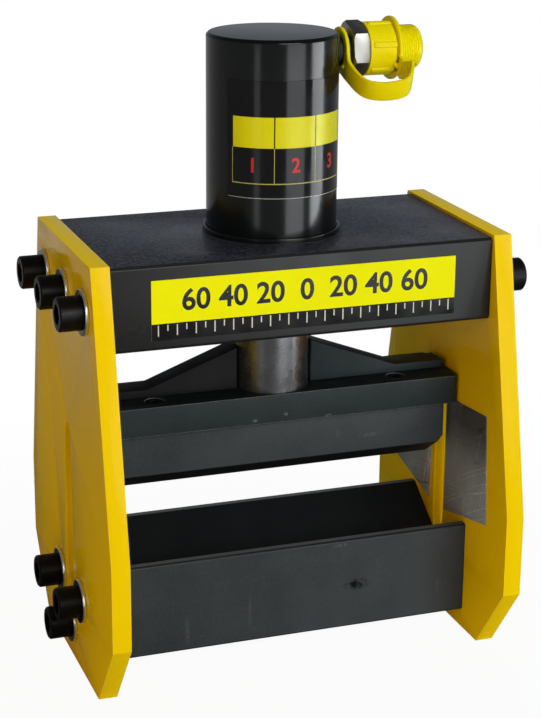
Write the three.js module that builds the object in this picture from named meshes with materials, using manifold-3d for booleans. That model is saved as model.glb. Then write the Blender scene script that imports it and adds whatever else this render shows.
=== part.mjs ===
// Hydraulic busbar bender: a single-acting cylinder in a bolted steel frame presses a blunt V punch
// into a V die, and a flat copper bar laid over the die is bent between them.
// Millimetres, +Z up. X runs from the left side plate to the right one, -Y is the front, where the
// printed panels are. The origin lies on the ground under the middle of the machine.
// The ram is drawn fully back, as it rests when there is no pressure.

import * as THREE from "three";
import { mergeVertices } from "three/addons/utils/BufferGeometryUtils.js";
import Module from "manifold-3d";

const wasm = await Module();
wasm.setup();

// Driving dimensions: frame
const innerWidth = 210; // between the side plates: takes a bar up to 200 wide
const plateThickness = 10;
const plateHeight = 236.5;
const plateTopDepth = 115;
const plateWaistDepth = 176;
const plateFootDepth = 114;
const waistTopHeight = 86;
const waistBottomHeight = 41;
const slotWidth = 13;
const slotRootGap = 1; // the sight slot starts this far above the root of the die's groove
const slotTopReach = 5; // and ends this far above the carrier's underside
const beamDepth = 112;
const beamHeight = 45;
const beamDrop = 1.5; // the beam's top lies this far below the plates' top edges
const beamBevel = 1.5;

// Driving dimensions: V die
const dieDepth = 76;
const dieHeight = 53;
const dieGroundGap = 11;
const dieBevel = 1;
const mouthWidth = 66;
const grooveDepth = 20;
const grooveRootWidth = 6;

// Driving dimensions: screws, washers and how they are spaced
const frameScrew = { shank: 12, head: 18, headHeight: 12, key: 10, keyDepth: 6, length: 30 };
const ramScrew = { shank: 10, head: 16, headHeight: 10, key: 8, keyDepth: 5, length: 26 };
const punchScrew = { shank: 6, head: 10, headHeight: 6, key: 5, keyDepth: 3, length: 25 };
const screwBevel = 0.8;
const washerDiameter = 24;
const washerThickness = 2;
const beamScrewSpacing = 42.5;
const beamScrewDrop = 25.2; // below the beam's top
const diePairSpacing = 45.6;
const diePairHeight = 31.2; // above the die's underside
const dieSingleHeight = 9.8;

// Driving dimensions: cylinder
const barrelDiameter = 70;
const barrelStandoff = 105.5; // above the beam
const barrelBevel = 1.5;
const boreDiameter = 56;
const crownThickness = 9;
const spigotDiameter = 64; // the threaded end that screws into the beam
const spigotDepth = 31;
const lockRingWidth = 1.6;
const lockRingHeight = 3;
const pistonHeight = 24;
const chamberGap = 5; // oil space over the piston when it is fully back
const sealHeight = 5;
const sealWidth = 4;
const sealStepDown = 4; // from the piston's top to the seal
const guideRingStepUp = 3; // from the piston's underside to the guide ring
const ramDiameter = 42;
const bushDiameter = 50;
const bushFlangeHeight = 3;
const bushFlangeOverhang = 2;
const wiperHeight = 4;
const wiperSetback = 0.5;
const springWire = 3.6;
const springPlay = 1; // between the spring's outside and the bore
const springTurns = 7;

// Driving dimensions: carrier and punch
const ribClearance = 18; // between the ribs' tops and the beam when the ram is back
const carrierThickness = 16;
const carrierDepth = 46;
const carrierEndGap = 1.1;
const carrierCornerRadius = 3;
const ribThickness = 14;
const ribEndHeight = 5;
const ribFlatLength = 29;
const ribPeakHeight = 24;
const punchLength = 196;
const punchThickness = 36;
const punchCheekHeight = 24.1;
const noseDrop = 11.9;
const noseRadius = 4;
const punchCornerRun = 3;
const punchCornerRise = 3.5;
const punchScrewSpacing = 140;
const punchScrewOffset = 12.4;

// Driving dimensions: gauge plates on the right side plate
const gaugeThickness = 0.6;
const gaugeInnerOffset = 9; // from the slot's centre line to the front plate's near edge
const gaugeRearOffset = 12;
const gaugeWidth = 52;
const gaugeOverlap = 2.3; // how far the lower edge starts below the die's top
const gaugeRise = 11.6; // how far the lower edge climbs outwards
const gaugeTopGap = 1; // between the upper edge's lowest point and the carrier's underside
const gaugeTopRise = 4;
const gaugeEdgeLean = 2.6; // the outer edge's foot lies this far out and its top this far in

// Driving dimensions: printed panels
const panelLength = 167;
const panelHeight = 31.5;
const panelDrop = 8;
const panelThickness = 0.4;
const wrapTopDrop = 20.5;
const wrapHeight = 61;
const wrapHalfAngle = THREE.MathUtils.degToRad(59.5);

// Driving dimensions: oil coupler, its dust cap and strap
const portDrop = 11.2; // the coupler's axis below the barrel's top
const portThread = 14;
const portDepth = 5;
const oilWay = 6;
const neckDiameter = 16;
const neckLength = 6;
const hexAcrossFlats = 27;
const hexLength = 8.8;
const hexTilt = 10; // degrees that the front flat looks up
const hexBevel = 1.2;
const nippleEngagement = 5;
const plugDiameter = 24;
const plugLength = 13.9;
const plugBevel = 1;
const valveBore = 11;
const valveMouth = 7.2;
const valveSeatWall = 2;
const valveSeatSetback = 1; // wall left behind the nipple for the valve spring to push on
const ballDiameter = 9.6;
const valveWire = 0.9;
const valveTurns = 3;
const capWall = 1.95;
const capEndWall = 1.2;
const capRibCount = 6;
const capRibTurn = 15; // degrees from straight up to the first rib, towards the front
const capRibWidth = 3.2;
const capRibHeight = 0.7;
const capRibSetback = 1.7;
const capGrooveDiameter = 21.4;
const capGrooveWidth = 2.8;
const stubDiameter = 24;
const stubLength = 15.6;
const stubRidgeDepth = 0.7;
const stubRidgeCount = 4;
const stubDomeHeight = 3.5;
const ringDiameter = 33.6;
const ringThickness = 2.2;
const tabLength = 3.4;
const eyeletDiameter = 24.4;
const bandWidth = 11.5;
const bandThickness = 2;
const bandReach = 41; // from the coupler's axis to the far side of the band's loop
const bandEndTilt = 62; // degrees from straight down, towards the front, where it meets the ring

// Clearances
const fit = 0.3; // between two pieces of which one sits in the other
const slide = 0.1; // between the ram and its bush, and between the seal and the bore
const overrun = 2; // how far a cutting tool runs past the face it cuts

// Counts
const barrelSegments = 40;
const boltSegments = 16;
const smallSegments = 20;
const springSides = 5;
const springSteps = 8;
const bandSteps = 24;
const domeSteps = 3;
const slotSegments = 12;
const panelSegments = 16;
const cornerSegments = 3;
const noseSegments = 4;

// Worked out from the driving dimensions
const plateInner = innerWidth / 2;
const plateOuter = plateInner + plateThickness;
const beamTop = plateHeight - beamDrop;
const beamBottom = beamTop - beamHeight;
const dieTop = dieGroundGap + dieHeight;
const barrelRadius = barrelDiameter / 2;
const boreRadius = boreDiameter / 2;
const spigotRadius = spigotDiameter / 2;
const barrelTop = beamTop + barrelStandoff;
const chamberTop = barrelTop - crownThickness;
const spigotBottom = beamTop - spigotDepth;
const seatHeight = spigotBottom - fit; // floor of the beam's threaded hole
const bushTop = seatHeight + bushFlangeHeight;
const ramRadius = ramDiameter / 2;
const bushRadius = bushDiameter / 2;
const pistonTop = chamberTop - chamberGap;
const pistonBottom = pistonTop - pistonHeight;
const carrierTop = beamBottom - ribClearance - ribPeakHeight;
const carrierHeight = carrierTop - carrierThickness; // of its underside
const carrierHalfLength = plateInner - carrierEndGap;
const punchShoulder = carrierHeight - punchCheekHeight;
const punchTip = punchShoulder - noseDrop;
const portHeight = barrelTop - portDrop;
const hexStart = barrelRadius + neckLength;
const plugStart = hexStart + hexLength;
const plugEnd = plugStart + plugLength;
const capCavityEnd = plugEnd + fit;
const capGrooveStart = capCavityEnd + capEndWall;
const stubStart = capGrooveStart + capGrooveWidth;
const stubEnd = stubStart + stubLength;
const capInner = plugDiameter / 2 + fit;
const capOuter = capInner + capWall;

// A closed geometry as a solid, with its shared corners merged and its faces pointing out.
function solid(geometry) {
  const loose = geometry.index ? geometry.toNonIndexed() : geometry.clone();
  loose.deleteAttribute("normal");
  loose.deleteAttribute("uv");
  const merged = mergeVertices(loose);
  const corners = merged.index.array;
  const triangles = [];
  for (let i = 0; i < corners.length; i += 3) {
    const [a, b, c] = [corners[i], corners[i + 1], corners[i + 2]];
    if (a !== b && b !== c && c !== a) triangles.push(a, b, c);
  }
  const vertProperties = merged.attributes.position.array;
  const build = (order) =>
    new wasm.Manifold(
      new wasm.Mesh({ numProp: 3, vertProperties, triVerts: new Uint32Array(order) }),
    );
  const made = build(triangles);
  return made.volume() > 0 ? made : build(triangles.reverse());
}

const group = new THREE.Group();

// Adds one piece to the model: a solid with the name and the finish that it has on the machine.
function addPiece(name, shape, material) {
  const { vertProperties, triVerts, numProp } = shape.getMesh();
  const positions = new Float32Array(triVerts.length * 3);
  triVerts.forEach((corner, i) => {
    for (let k = 0; k < 3; k += 1) positions[i * 3 + k] = vertProperties[corner * numProp + k];
  });
  const geometry = new THREE.BufferGeometry();
  geometry.setAttribute("position", new THREE.BufferAttribute(positions, 3));
  geometry.computeVertexNormals();
  const mesh = new THREE.Mesh(geometry, material);
  mesh.name = name;
  group.add(mesh);
}

// A straight prism of an outline, between two places along the axis square to it.
// Outlines along x are drawn in (y, z), along y in (x, z) and along z in (x, y).
function prism(axis, outline, from, to) {
  const shape = new THREE.Shape(outline.map(([u, v]) => new THREE.Vector2(u, v)));
  return prismOfShape(axis, shape, from, to);
}

function prismOfShape(axis, shape, from, to, curveSegments = slotSegments) {
  const geometry = new THREE.ExtrudeGeometry(shape, {
    depth: to - from,
    bevelEnabled: false,
    curveSegments,
  });
  const [x, y, z] = [new THREE.Vector3(1, 0, 0), new THREE.Vector3(0, 1, 0), new THREE.Vector3(0, 0, 1)];
  const turn = new THREE.Matrix4();
  if (axis === "x") turn.makeBasis(y, z, x).setPosition(from, 0, 0);
  if (axis === "y") turn.makeBasis(x, z, y.clone().negate()).setPosition(0, to, 0);
  if (axis === "z") turn.setPosition(0, 0, from);
  return solid(geometry.applyMatrix4(turn));
}

function block(x0, x1, y0, y1, z0, z1) {
  const box = new THREE.BoxGeometry(x1 - x0, y1 - y0, z1 - z0);
  return solid(box.translate((x0 + x1) / 2, (y0 + y1) / 2, (z0 + z1) / 2));
}

// A turned piece: its profile in (radius, height), spun about the line through a point.
function turned(axis, profile, segments, x = 0, y = 0, z = 0) {
  const lathe = new THREE.LatheGeometry(
    profile.map(([radius, height]) => new THREE.Vector2(radius, height)),
    segments,
  );
  if (axis === "z") lathe.rotateX(Math.PI / 2);
  if (axis === "x") lathe.rotateZ(-Math.PI / 2);
  return solid(lathe.translate(x, y, z));
}

function rod(axis, radius, from, to, segments, x = 0, y = 0, z = 0) {
  return turned(axis, [[0, from], [radius, from], [radius, to], [0, to]], segments, x, y, z);
}

function ring(axis, inner, outer, from, to, segments, x = 0, y = 0, z = 0) {
  const profile = [[inner, from], [outer, from], [outer, to], [inner, to], [inner, from]];
  return turned(axis, profile, segments, x, y, z);
}

// Two places along an axis, the lower one first
function ascending([a, b]) {
  return [Math.min(a, b), Math.max(a, b)];
}

// A hexagonal bar along z or x, given by its width across the flats, with one corner on top.
function hexBar(axis, acrossFlats, from, to, x = 0, y = 0, z = 0) {
  const radius = acrossFlats / Math.sqrt(3);
  const outline = [];
  for (let i = 0; i < 6; i += 1) {
    const angle = (i * Math.PI) / 3 + Math.PI / 2;
    outline.push([radius * Math.cos(angle), radius * Math.sin(angle)]);
  }
  return prism(axis, outline, from, to).translate([x, y, z]);
}

// Finishes
const finish = (color, roughness, metalness) =>
  new THREE.MeshStandardMaterial({ color, roughness, metalness });
const yellowPaint = finish(0xf0c808, 0.35, 0);
const blackPaint = finish(0x2c2e30, 0.4, 0.1);
const blackOxide = finish(0x181818, 0.5, 0.6);
const darkSteel = finish(0x3a3d40, 0.5, 0.5);
const brightSteel = finish(0xc8c8c4, 0.3, 0.9);
const bronze = finish(0xa67c3d, 0.4, 0.8);
const rubber = finish(0x141414, 0.8, 0);
const panelYellow = finish(0xe8ee10, 0.4, 0);
const panelBlack = finish(0x101012, 0.2, 0);
const capYellow = finish(0xe6d800, 0.5, 0);

// Where the screws of one end stand, as (y, z), first the beam's three, then the die's three
const beamScrewHeight = beamTop - beamScrewDrop;
const beamScrews = [-beamScrewSpacing, 0, beamScrewSpacing].map((y) => [y, beamScrewHeight]);
const dieScrews = [
  [-diePairSpacing / 2, dieGroundGap + diePairHeight],
  [diePairSpacing / 2, dieGroundGap + diePairHeight],
  [0, dieGroundGap + dieSingleHeight],
];
const tappedRadius = frameScrew.shank / 2 + fit;
const tappedDepth = frameScrew.length - washerThickness - plateThickness + overrun;

// Takes the tapped holes for one set of screws out of both ends of a piece between the plates.
function tapEnds(piece, places) {
  let left = piece;
  for (const [y, z] of places) {
    for (const side of [-1, 1]) {
      const ends = [side * (plateInner + overrun), side * (plateInner - tappedDepth)];
      left = left.subtract(rod("x", tappedRadius, ...ascending(ends), boltSegments, 0, y, z));
    }
  }
  return left;
}

// Side plates: six-sided outline, wide at the waist, with a sight slot over the die's groove
const plateOutline = [
  [-plateFootDepth / 2, 0],
  [plateFootDepth / 2, 0],
  [plateWaistDepth / 2, waistBottomHeight],
  [plateWaistDepth / 2, waistTopHeight],
  [plateTopDepth / 2, plateHeight],
  [-plateTopDepth / 2, plateHeight],
  [-plateWaistDepth / 2, waistTopHeight],
  [-plateWaistDepth / 2, waistBottomHeight],
];

function sidePlate(side) {
  const shape = new THREE.Shape(plateOutline.map(([y, z]) => new THREE.Vector2(y, z)));
  const slotRadius = slotWidth / 2;
  const slotBottomHeight = dieTop - grooveDepth + slotRootGap;
  const slotTopHeight = carrierHeight + slotTopReach;
  const slot = new THREE.Path();
  slot.moveTo(slotRadius, slotBottomHeight + slotRadius);
  slot.absarc(0, slotTopHeight - slotRadius, slotRadius, 0, Math.PI, false);
  slot.absarc(0, slotBottomHeight + slotRadius, slotRadius, Math.PI, 2 * Math.PI, false);
  shape.holes.push(slot);
  for (const [y, z] of [...beamScrews, ...dieScrews]) {
    const hole = new THREE.Path();
    hole.absarc(y, z, tappedRadius, 0, 2 * Math.PI, true);
    shape.holes.push(hole);
  }
  const [from, to] = side < 0 ? [-plateOuter, -plateInner] : [plateInner, plateOuter];
  return prismOfShape("x", shape, from, to);
}

addPiece("left_side_plate", sidePlate(-1), yellowPaint);
addPiece("right_side_plate", sidePlate(1), yellowPaint);

// Top beam: a solid block, bored for the barrel's spigot and, below it, for the ram's bush
function bevelledOutline(halfDepth, bottom, top, bevel) {
  return [
    [-halfDepth + bevel, bottom],
    [halfDepth - bevel, bottom],
    [halfDepth, bottom + bevel],
    [halfDepth, top - bevel],
    [halfDepth - bevel, top],
    [-halfDepth + bevel, top],
    [-halfDepth, top - bevel],
    [-halfDepth, bottom + bevel],
  ];
}

function topBeam() {
  const outline = bevelledOutline(beamDepth / 2, beamBottom, beamTop, beamBevel);
  let beam = prism("x", outline, -plateInner, plateInner);
  beam = beam.subtract(rod("z", spigotRadius + fit, seatHeight, beamTop + overrun, barrelSegments));
  beam = beam.subtract(rod("z", bushRadius + fit, beamBottom - overrun, beamTop, barrelSegments));
  return tapEnds(beam, beamScrews);
}

addPiece("top_beam", topBeam(), blackPaint);

// V die: a block with a wide V groove along its top
function lowerDie() {
  const half = dieDepth / 2;
  const groove = [
    [-mouthWidth / 2, dieTop],
    [-grooveRootWidth / 2, dieTop - grooveDepth],
    [grooveRootWidth / 2, dieTop - grooveDepth],
    [mouthWidth / 2, dieTop],
  ];
  const outline = [
    [-half + dieBevel, dieGroundGap],
    [half - dieBevel, dieGroundGap],
    [half, dieGroundGap + dieBevel],
    [half, dieTop - dieBevel],
    [half - dieBevel, dieTop],
    ...groove.reverse(),
    [-half + dieBevel, dieTop],
    [-half, dieTop - dieBevel],
    [-half, dieGroundGap + dieBevel],
  ];
  return tapEnds(prism("x", outline, -plateInner, plateInner), dieScrews);
}

addPiece("lower_die", lowerDie(), darkSteel);

// A socket screw along an axis. Its head stands on the seat, on the side that way points to.
function socketScrew(axis, size, seat, way, x = 0, y = 0, z = 0) {
  const shank = size.shank / 2;
  const head = size.head / 2;
  const top = size.headHeight;
  const profile = [
    [0, -size.length],
    [shank - screwBevel, -size.length],
    [shank, screwBevel - size.length],
    [shank, 0],
    [head, 0],
    [head, top - screwBevel],
    [head - screwBevel, top],
    [0, top],
  ];
  const placed = profile.map(([radius, height]) => [radius, seat + way * height]);
  const body = turned(axis, placed, boltSegments, x, y, z);
  const keyEnds = [seat + way * (top - size.keyDepth), seat + way * (top + overrun)];
  return body.subtract(hexBar(axis, size.key, ...ascending(keyEnds), x, y, z));
}

// Frame screws and washers, numbered from the front to the back, the die's single one last
for (const [sideName, side] of [["left", -1], ["right", 1]]) {
  for (const [setName, places] of [["beam", beamScrews], ["die", dieScrews]]) {
    places.forEach(([y, z], i) => {
      const seat = side * (plateOuter + washerThickness);
      const faces = ascending([side * plateOuter, seat]);
      const washer = ring("x", tappedRadius, washerDiameter / 2, ...faces, boltSegments, 0, y, z);
      addPiece(`${setName}_washer_${sideName}_${i + 1}`, washer, brightSteel);
      addPiece(
        `${setName}_screw_${sideName}_${i + 1}`,
        socketScrew("x", frameScrew, seat, side, 0, y, z),
        blackOxide,
      );
    });
  }
}

// Cylinder barrel: closed at the top, screwed into the beam, with the oil port in its side
function cylinderBarrel() {
  const profile = [
    [0, chamberTop],
    [boreRadius, chamberTop],
    [boreRadius, spigotBottom],
    [spigotRadius, spigotBottom],
    [spigotRadius, beamTop],
    [barrelRadius, beamTop],
    [barrelRadius, barrelTop - barrelBevel],
    [barrelRadius - barrelBevel, barrelTop],
    [0, barrelTop],
  ];
  const port = rod(
    "x",
    portThread / 2 + fit,
    barrelRadius - portDepth,
    barrelRadius + overrun,
    smallSegments,
    0,
    0,
    portHeight,
  );
  const way = rod("x", oilWay / 2, 0, barrelRadius, smallSegments, 0, 0, portHeight);
  return turned("z", profile, barrelSegments).subtract(port).subtract(way);
}

addPiece("cylinder_barrel", cylinderBarrel(), blackPaint);

addPiece(
  "barrel_lock_ring",
  ring(
    "z",
    barrelRadius + fit,
    barrelRadius + fit + lockRingWidth,
    beamTop,
    beamTop + lockRingHeight,
    barrelSegments,
  ),
  blackPaint,
);

// Ram bush with its flange on the floor of the beam's hole, and the wiper below it
function ramBush() {
  const inner = ramRadius + slide;
  const profile = [
    [inner, beamBottom + wiperSetback + wiperHeight + fit],
    [bushRadius, beamBottom + wiperSetback + wiperHeight + fit],
    [bushRadius, seatHeight],
    [bushRadius + bushFlangeOverhang, seatHeight],
    [bushRadius + bushFlangeOverhang, bushTop],
    [inner, bushTop],
    [inner, beamBottom + wiperSetback + wiperHeight + fit],
  ];
  return turned("z", profile, barrelSegments);
}

addPiece("ram_bush", ramBush(), bronze);

const wiperBottom = beamBottom + wiperSetback;
addPiece(
  "ram_wiper",
  ring("z", ramRadius + slide, bushRadius, wiperBottom, wiperBottom + wiperHeight, barrelSegments),
  rubber,
);

// Piston with a groove for the seal and one for the guide ring, bored for its screw
const sealTop = pistonTop - sealStepDown;
const guideBottom = pistonBottom + guideRingStepUp;
const pistonRadius = boreRadius - fit;
const grooveRadius = pistonRadius - sealWidth;

function piston() {
  const profile = [
    [0, pistonBottom],
    [pistonRadius, pistonBottom],
    [pistonRadius, guideBottom],
    [grooveRadius, guideBottom],
    [grooveRadius, guideBottom + sealHeight],
    [pistonRadius, guideBottom + sealHeight],
    [pistonRadius, sealTop - sealHeight],
    [grooveRadius, sealTop - sealHeight],
    [grooveRadius, sealTop],
    [pistonRadius, sealTop],
    [pistonRadius, pistonTop],
    [0, pistonTop],
  ];
  const through = rod("z", ramScrew.shank / 2 + fit, pistonBottom - overrun, pistonTop, boltSegments);
  const seat = rod(
    "z",
    ramScrew.head / 2 + fit,
    pistonTop - ramScrew.headHeight - fit,
    pistonTop + overrun,
    boltSegments,
  );
  return turned("z", profile, barrelSegments).subtract(through).subtract(seat);
}

function grooveRing(bottom) {
  const top = bottom + sealHeight - fit;
  return ring("z", grooveRadius + fit, boreRadius - slide, bottom + fit, top, barrelSegments);
}

addPiece("piston", piston(), brightSteel);
addPiece("piston_seal", grooveRing(sealTop - sealHeight), rubber);
addPiece("piston_guide_ring", grooveRing(guideBottom), bronze);

const pistonScrewSeat = pistonTop - ramScrew.headHeight - fit;
addPiece("piston_screw", socketScrew("z", ramScrew, pistonScrewSeat, 1), blackOxide);

// Ram: from the carrier to the piston, tapped at both ends
const carrierScrewSeat = carrierHeight + ramScrew.headHeight + fit;

function ram() {
  const hole = ramScrew.shank / 2 + fit;
  const upperFloor = pistonScrewSeat - ramScrew.length - overrun;
  const lowerFloor = carrierScrewSeat + ramScrew.length + overrun;
  return rod("z", ramRadius, carrierTop, pistonBottom, barrelSegments)
    .subtract(rod("z", hole, upperFloor, pistonBottom + overrun, boltSegments))
    .subtract(rod("z", hole, carrierTop - overrun, lowerFloor, boltSegments));
}

addPiece("ram", ram(), darkSteel);
addPiece("carrier_screw", socketScrew("z", ramScrew, carrierScrewSeat, -1), blackOxide);

// One unbroken spring: a helix of wire whose ends lie just clear of the seats
function coilSpring(axis, meanRadius, wire, from, to, turns, x = 0, y = 0, z = 0) {
  const bottom = from + fit + wire / 2;
  const top = to - fit - wire / 2;
  const steps = turns * springSteps;
  const positions = [];
  const faces = [];
  for (let i = 0; i <= steps; i += 1) {
    const angle = (i / springSteps) * 2 * Math.PI;
    const height = bottom + ((top - bottom) * i) / steps;
    for (let k = 0; k < springSides; k += 1) {
      const around = (k / springSides) * 2 * Math.PI;
      const radius = meanRadius + (wire / 2) * Math.cos(around);
      positions.push(radius * Math.cos(angle), radius * Math.sin(angle));
      positions.push(height + (wire / 2) * Math.sin(around));
    }
  }
  for (let i = 0; i < steps; i += 1) {
    for (let k = 0; k < springSides; k += 1) {
      const [a, b] = [i * springSides + k, i * springSides + ((k + 1) % springSides)];
      faces.push(a, b, a + springSides, b, b + springSides, a + springSides);
    }
  }
  for (let k = 1; k < springSides - 1; k += 1) {
    const last = steps * springSides;
    faces.push(0, k + 1, k, last, last + k, last + k + 1);
  }
  const coil = new THREE.BufferGeometry();
  coil.setAttribute("position", new THREE.Float32BufferAttribute(positions, 3));
  coil.setIndex(faces);
  if (axis === "x") coil.rotateY(Math.PI / 2);
  return solid(coil.translate(x, y, z));
}

const springRadius = boreRadius - springPlay - springWire / 2;
addPiece(
  "return_spring",
  coilSpring("z", springRadius, springWire, bushTop, pistonBottom, springTurns),
  brightSteel,
);
const springPitch = (pistonBottom - bushTop - 2 * fit - springWire) / springTurns;
console.log(`return spring: least gap between turns ${(springPitch - springWire).toFixed(2)} mm`);

// Carrier bar with recesses for the ram's screw, from below, and the punch's screws, from above
const punchScrewPlaces = [];
for (const x of [-punchScrewSpacing / 2, punchScrewSpacing / 2]) {
  for (const y of [-punchScrewOffset, punchScrewOffset]) punchScrewPlaces.push([x, y]);
}
const punchScrewSeat = carrierTop - punchScrew.headHeight - fit;

function roundedRectangle(halfX, halfY, radius) {
  const shape = new THREE.Shape();
  shape.absarc(halfX - radius, halfY - radius, radius, 0, Math.PI / 2, false);
  shape.absarc(radius - halfX, halfY - radius, radius, Math.PI / 2, Math.PI, false);
  shape.absarc(radius - halfX, radius - halfY, radius, Math.PI, 1.5 * Math.PI, false);
  shape.absarc(halfX - radius, radius - halfY, radius, 1.5 * Math.PI, 2 * Math.PI, false);
  return shape;
}

function carrierBar() {
  const plan = roundedRectangle(carrierHalfLength, carrierDepth / 2, carrierCornerRadius);
  let bar = prismOfShape("z", plan, carrierHeight, carrierTop, cornerSegments);
  bar = bar.subtract(
    rod("z", ramScrew.shank / 2 + fit, carrierHeight, carrierTop + overrun, boltSegments),
  );
  bar = bar.subtract(
    rod("z", ramScrew.head / 2 + fit, carrierHeight - overrun, carrierScrewSeat, boltSegments),
  );
  for (const [x, y] of punchScrewPlaces) {
    const shank = punchScrew.shank / 2 + fit;
    const head = punchScrew.head / 2 + fit;
    bar = bar.subtract(rod("z", shank, carrierHeight - overrun, carrierTop, boltSegments, x, y));
    bar = bar.subtract(rod("z", head, punchScrewSeat, carrierTop + overrun, boltSegments, x, y));
  }
  return bar;
}

addPiece("carrier_bar", carrierBar(), darkSteel);

// Ribs: sloping webs from the ram out to the carrier's ends
function carrierRib(side) {
  const inner = ramRadius + fit;
  const outer = carrierHalfLength - carrierCornerRadius;
  const knee = outer - ribFlatLength;
  const outline = [
    [inner, carrierTop],
    [outer, carrierTop],
    [outer, carrierTop + ribEndHeight],
    [knee, carrierTop + ribEndHeight],
    [inner, carrierTop + ribPeakHeight],
  ];
  const placed = outline.map(([x, z]) => [side * x, z]);
  if (side < 0) placed.reverse();
  return prism("y", placed, -ribThickness / 2, ribThickness / 2);
}

addPiece("carrier_rib_left", carrierRib(-1), darkSteel);
addPiece("carrier_rib_right", carrierRib(1), darkSteel);

// Punch: a bar with a blunt V nose, its lower end corners cut off
function upperPunch() {
  const half = punchThickness / 2;
  const slope = Math.atan2(noseDrop, half);
  const nose = new THREE.Shape();
  nose.moveTo(-half, carrierHeight);
  nose.lineTo(-half, punchShoulder);
  const centre = punchTip + noseRadius / Math.cos(slope);
  nose.absarc(0, centre, noseRadius, -Math.PI / 2 - slope, -Math.PI / 2 + slope, false);
  nose.lineTo(half, punchShoulder);
  nose.lineTo(half, carrierHeight);
  const along = punchLength / 2;
  const bar = prismOfShape("x", nose, -along, along, noseSegments);
  const face = [
    [-along, punchShoulder + punchCornerRise],
    [punchCornerRun - along, punchShoulder],
    [punchCornerRun - along, punchTip - overrun],
    [along - punchCornerRun, punchTip - overrun],
    [along - punchCornerRun, punchShoulder],
    [along, punchShoulder + punchCornerRise],
    [along, carrierHeight],
    [-along, carrierHeight],
  ];
  let punch = bar.intersect(prism("y", face, -half, half));
  const floor = punchScrewSeat - punchScrew.length - overrun;
  for (const [x, y] of punchScrewPlaces) {
    const hole = punchScrew.shank / 2 + fit;
    punch = punch.subtract(rod("z", hole, floor, carrierHeight + overrun, boltSegments, x, y));
  }
  return punch;
}

addPiece("upper_punch", upperPunch(), darkSteel);
punchScrewPlaces.forEach(([x, y], i) => {
  addPiece(`punch_screw_${i + 1}`, socketScrew("z", punchScrew, punchScrewSeat, 1, x, y), blackOxide);
});

// Gauge plates: thin black plates before and behind the right plate's slot, lower edges rising
function gaugePlate(nearEdge, way) {
  const farEdge = nearEdge + way * gaugeWidth;
  const root = dieTop - gaugeOverlap;
  const top = carrierHeight - gaugeTopGap;
  const outline = [
    [nearEdge, root],
    [farEdge + way * gaugeEdgeLean, root + gaugeRise],
    [farEdge - way * gaugeEdgeLean, top + gaugeTopRise],
    [nearEdge, top],
  ];
  if (way < 0) outline.reverse();
  return prism("x", outline, plateInner - gaugeThickness, plateInner);
}

addPiece("gauge_plate_front", gaugePlate(-gaugeInnerOffset, -1), panelBlack);
addPiece("gauge_plate_rear", gaugePlate(gaugeRearOffset, 1), panelBlack);

// Printed panels: a flat one on the beam's front, a curved one round the barrel's front
addPiece(
  "beam_panel",
  block(
    -panelLength / 2,
    panelLength / 2,
    -beamDepth / 2 - panelThickness,
    -beamDepth / 2,
    beamTop - panelDrop - panelHeight,
    beamTop - panelDrop,
  ),
  panelYellow,
);

function barrelPanel() {
  const inner = barrelRadius + slide;
  const outer = inner + panelThickness;
  const [start, end] = [-Math.PI / 2 - wrapHalfAngle, -Math.PI / 2 + wrapHalfAngle];
  const sector = new THREE.Shape();
  sector.absarc(0, 0, outer, start, end, false);
  sector.absarc(0, 0, inner, end, start, true);
  const top = barrelTop - wrapTopDrop;
  return prismOfShape("z", sector, top - wrapHeight, top, panelSegments);
}

addPiece("barrel_panel", barrelPanel(), panelBlack);

// Coupler: a nipple in the barrel's port, and a body with a hexagon, a plug and a check valve
const nippleEnd = hexStart + nippleEngagement;
const valveSeat = plugEnd - valveSeatWall;
const valveFloor = nippleEnd + fit + valveSeatSetback;
const portFloor = barrelRadius - portDepth;
const bodyWay = oilWay / 2;

function couplerNipple() {
  const thread = portThread / 2;
  const profile = [
    [bodyWay, portFloor + fit],
    [thread, portFloor + fit],
    [thread, barrelRadius + fit],
    [neckDiameter / 2, barrelRadius + fit],
    [neckDiameter / 2, hexStart],
    [thread, hexStart],
    [thread, nippleEnd],
    [bodyWay, nippleEnd],
    [bodyWay, portFloor + fit],
  ];
  return turned("x", profile, smallSegments, 0, 0, portHeight);
}

function couplerBody() {
  const plug = plugDiameter / 2;
  const hexRadius = hexAcrossFlats / Math.sqrt(3);
  const envelope = [
    [0, hexStart],
    [hexRadius - hexBevel, hexStart],
    [hexRadius, hexStart + hexBevel],
    [hexRadius, plugStart - hexBevel],
    [hexRadius - hexBevel, plugStart],
    [0, plugStart],
  ];
  const hexagon = hexBar("x", hexAcrossFlats, hexStart, plugStart)
    .rotate([-hexTilt, 0, 0])
    .translate([0, 0, portHeight])
    .intersect(turned("x", envelope, smallSegments, 0, 0, portHeight));
  const plugProfile = [
    [0, plugStart - hexBevel],
    [plug, plugStart - hexBevel],
    [plug, plugEnd - plugBevel],
    [plug - plugBevel, plugEnd],
    [0, plugEnd],
  ];
  const [thread, bore, mouth] = [portThread / 2 + fit, valveBore / 2, valveMouth / 2];
  return hexagon
    .add(turned("x", plugProfile, smallSegments, 0, 0, portHeight))
    .subtract(rod("x", thread, hexStart - overrun, nippleEnd + fit, smallSegments, 0, 0, portHeight))
    .subtract(rod("x", bodyWay, hexStart, valveFloor + overrun, smallSegments, 0, 0, portHeight))
    .subtract(rod("x", bore, valveFloor, valveSeat, smallSegments, 0, 0, portHeight))
    .subtract(rod("x", mouth, valveFloor, plugEnd + overrun, smallSegments, 0, 0, portHeight));
}

addPiece("coupler_nipple", couplerNipple(), darkSteel);
addPiece("coupler_body", couplerBody(), brightSteel);

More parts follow.
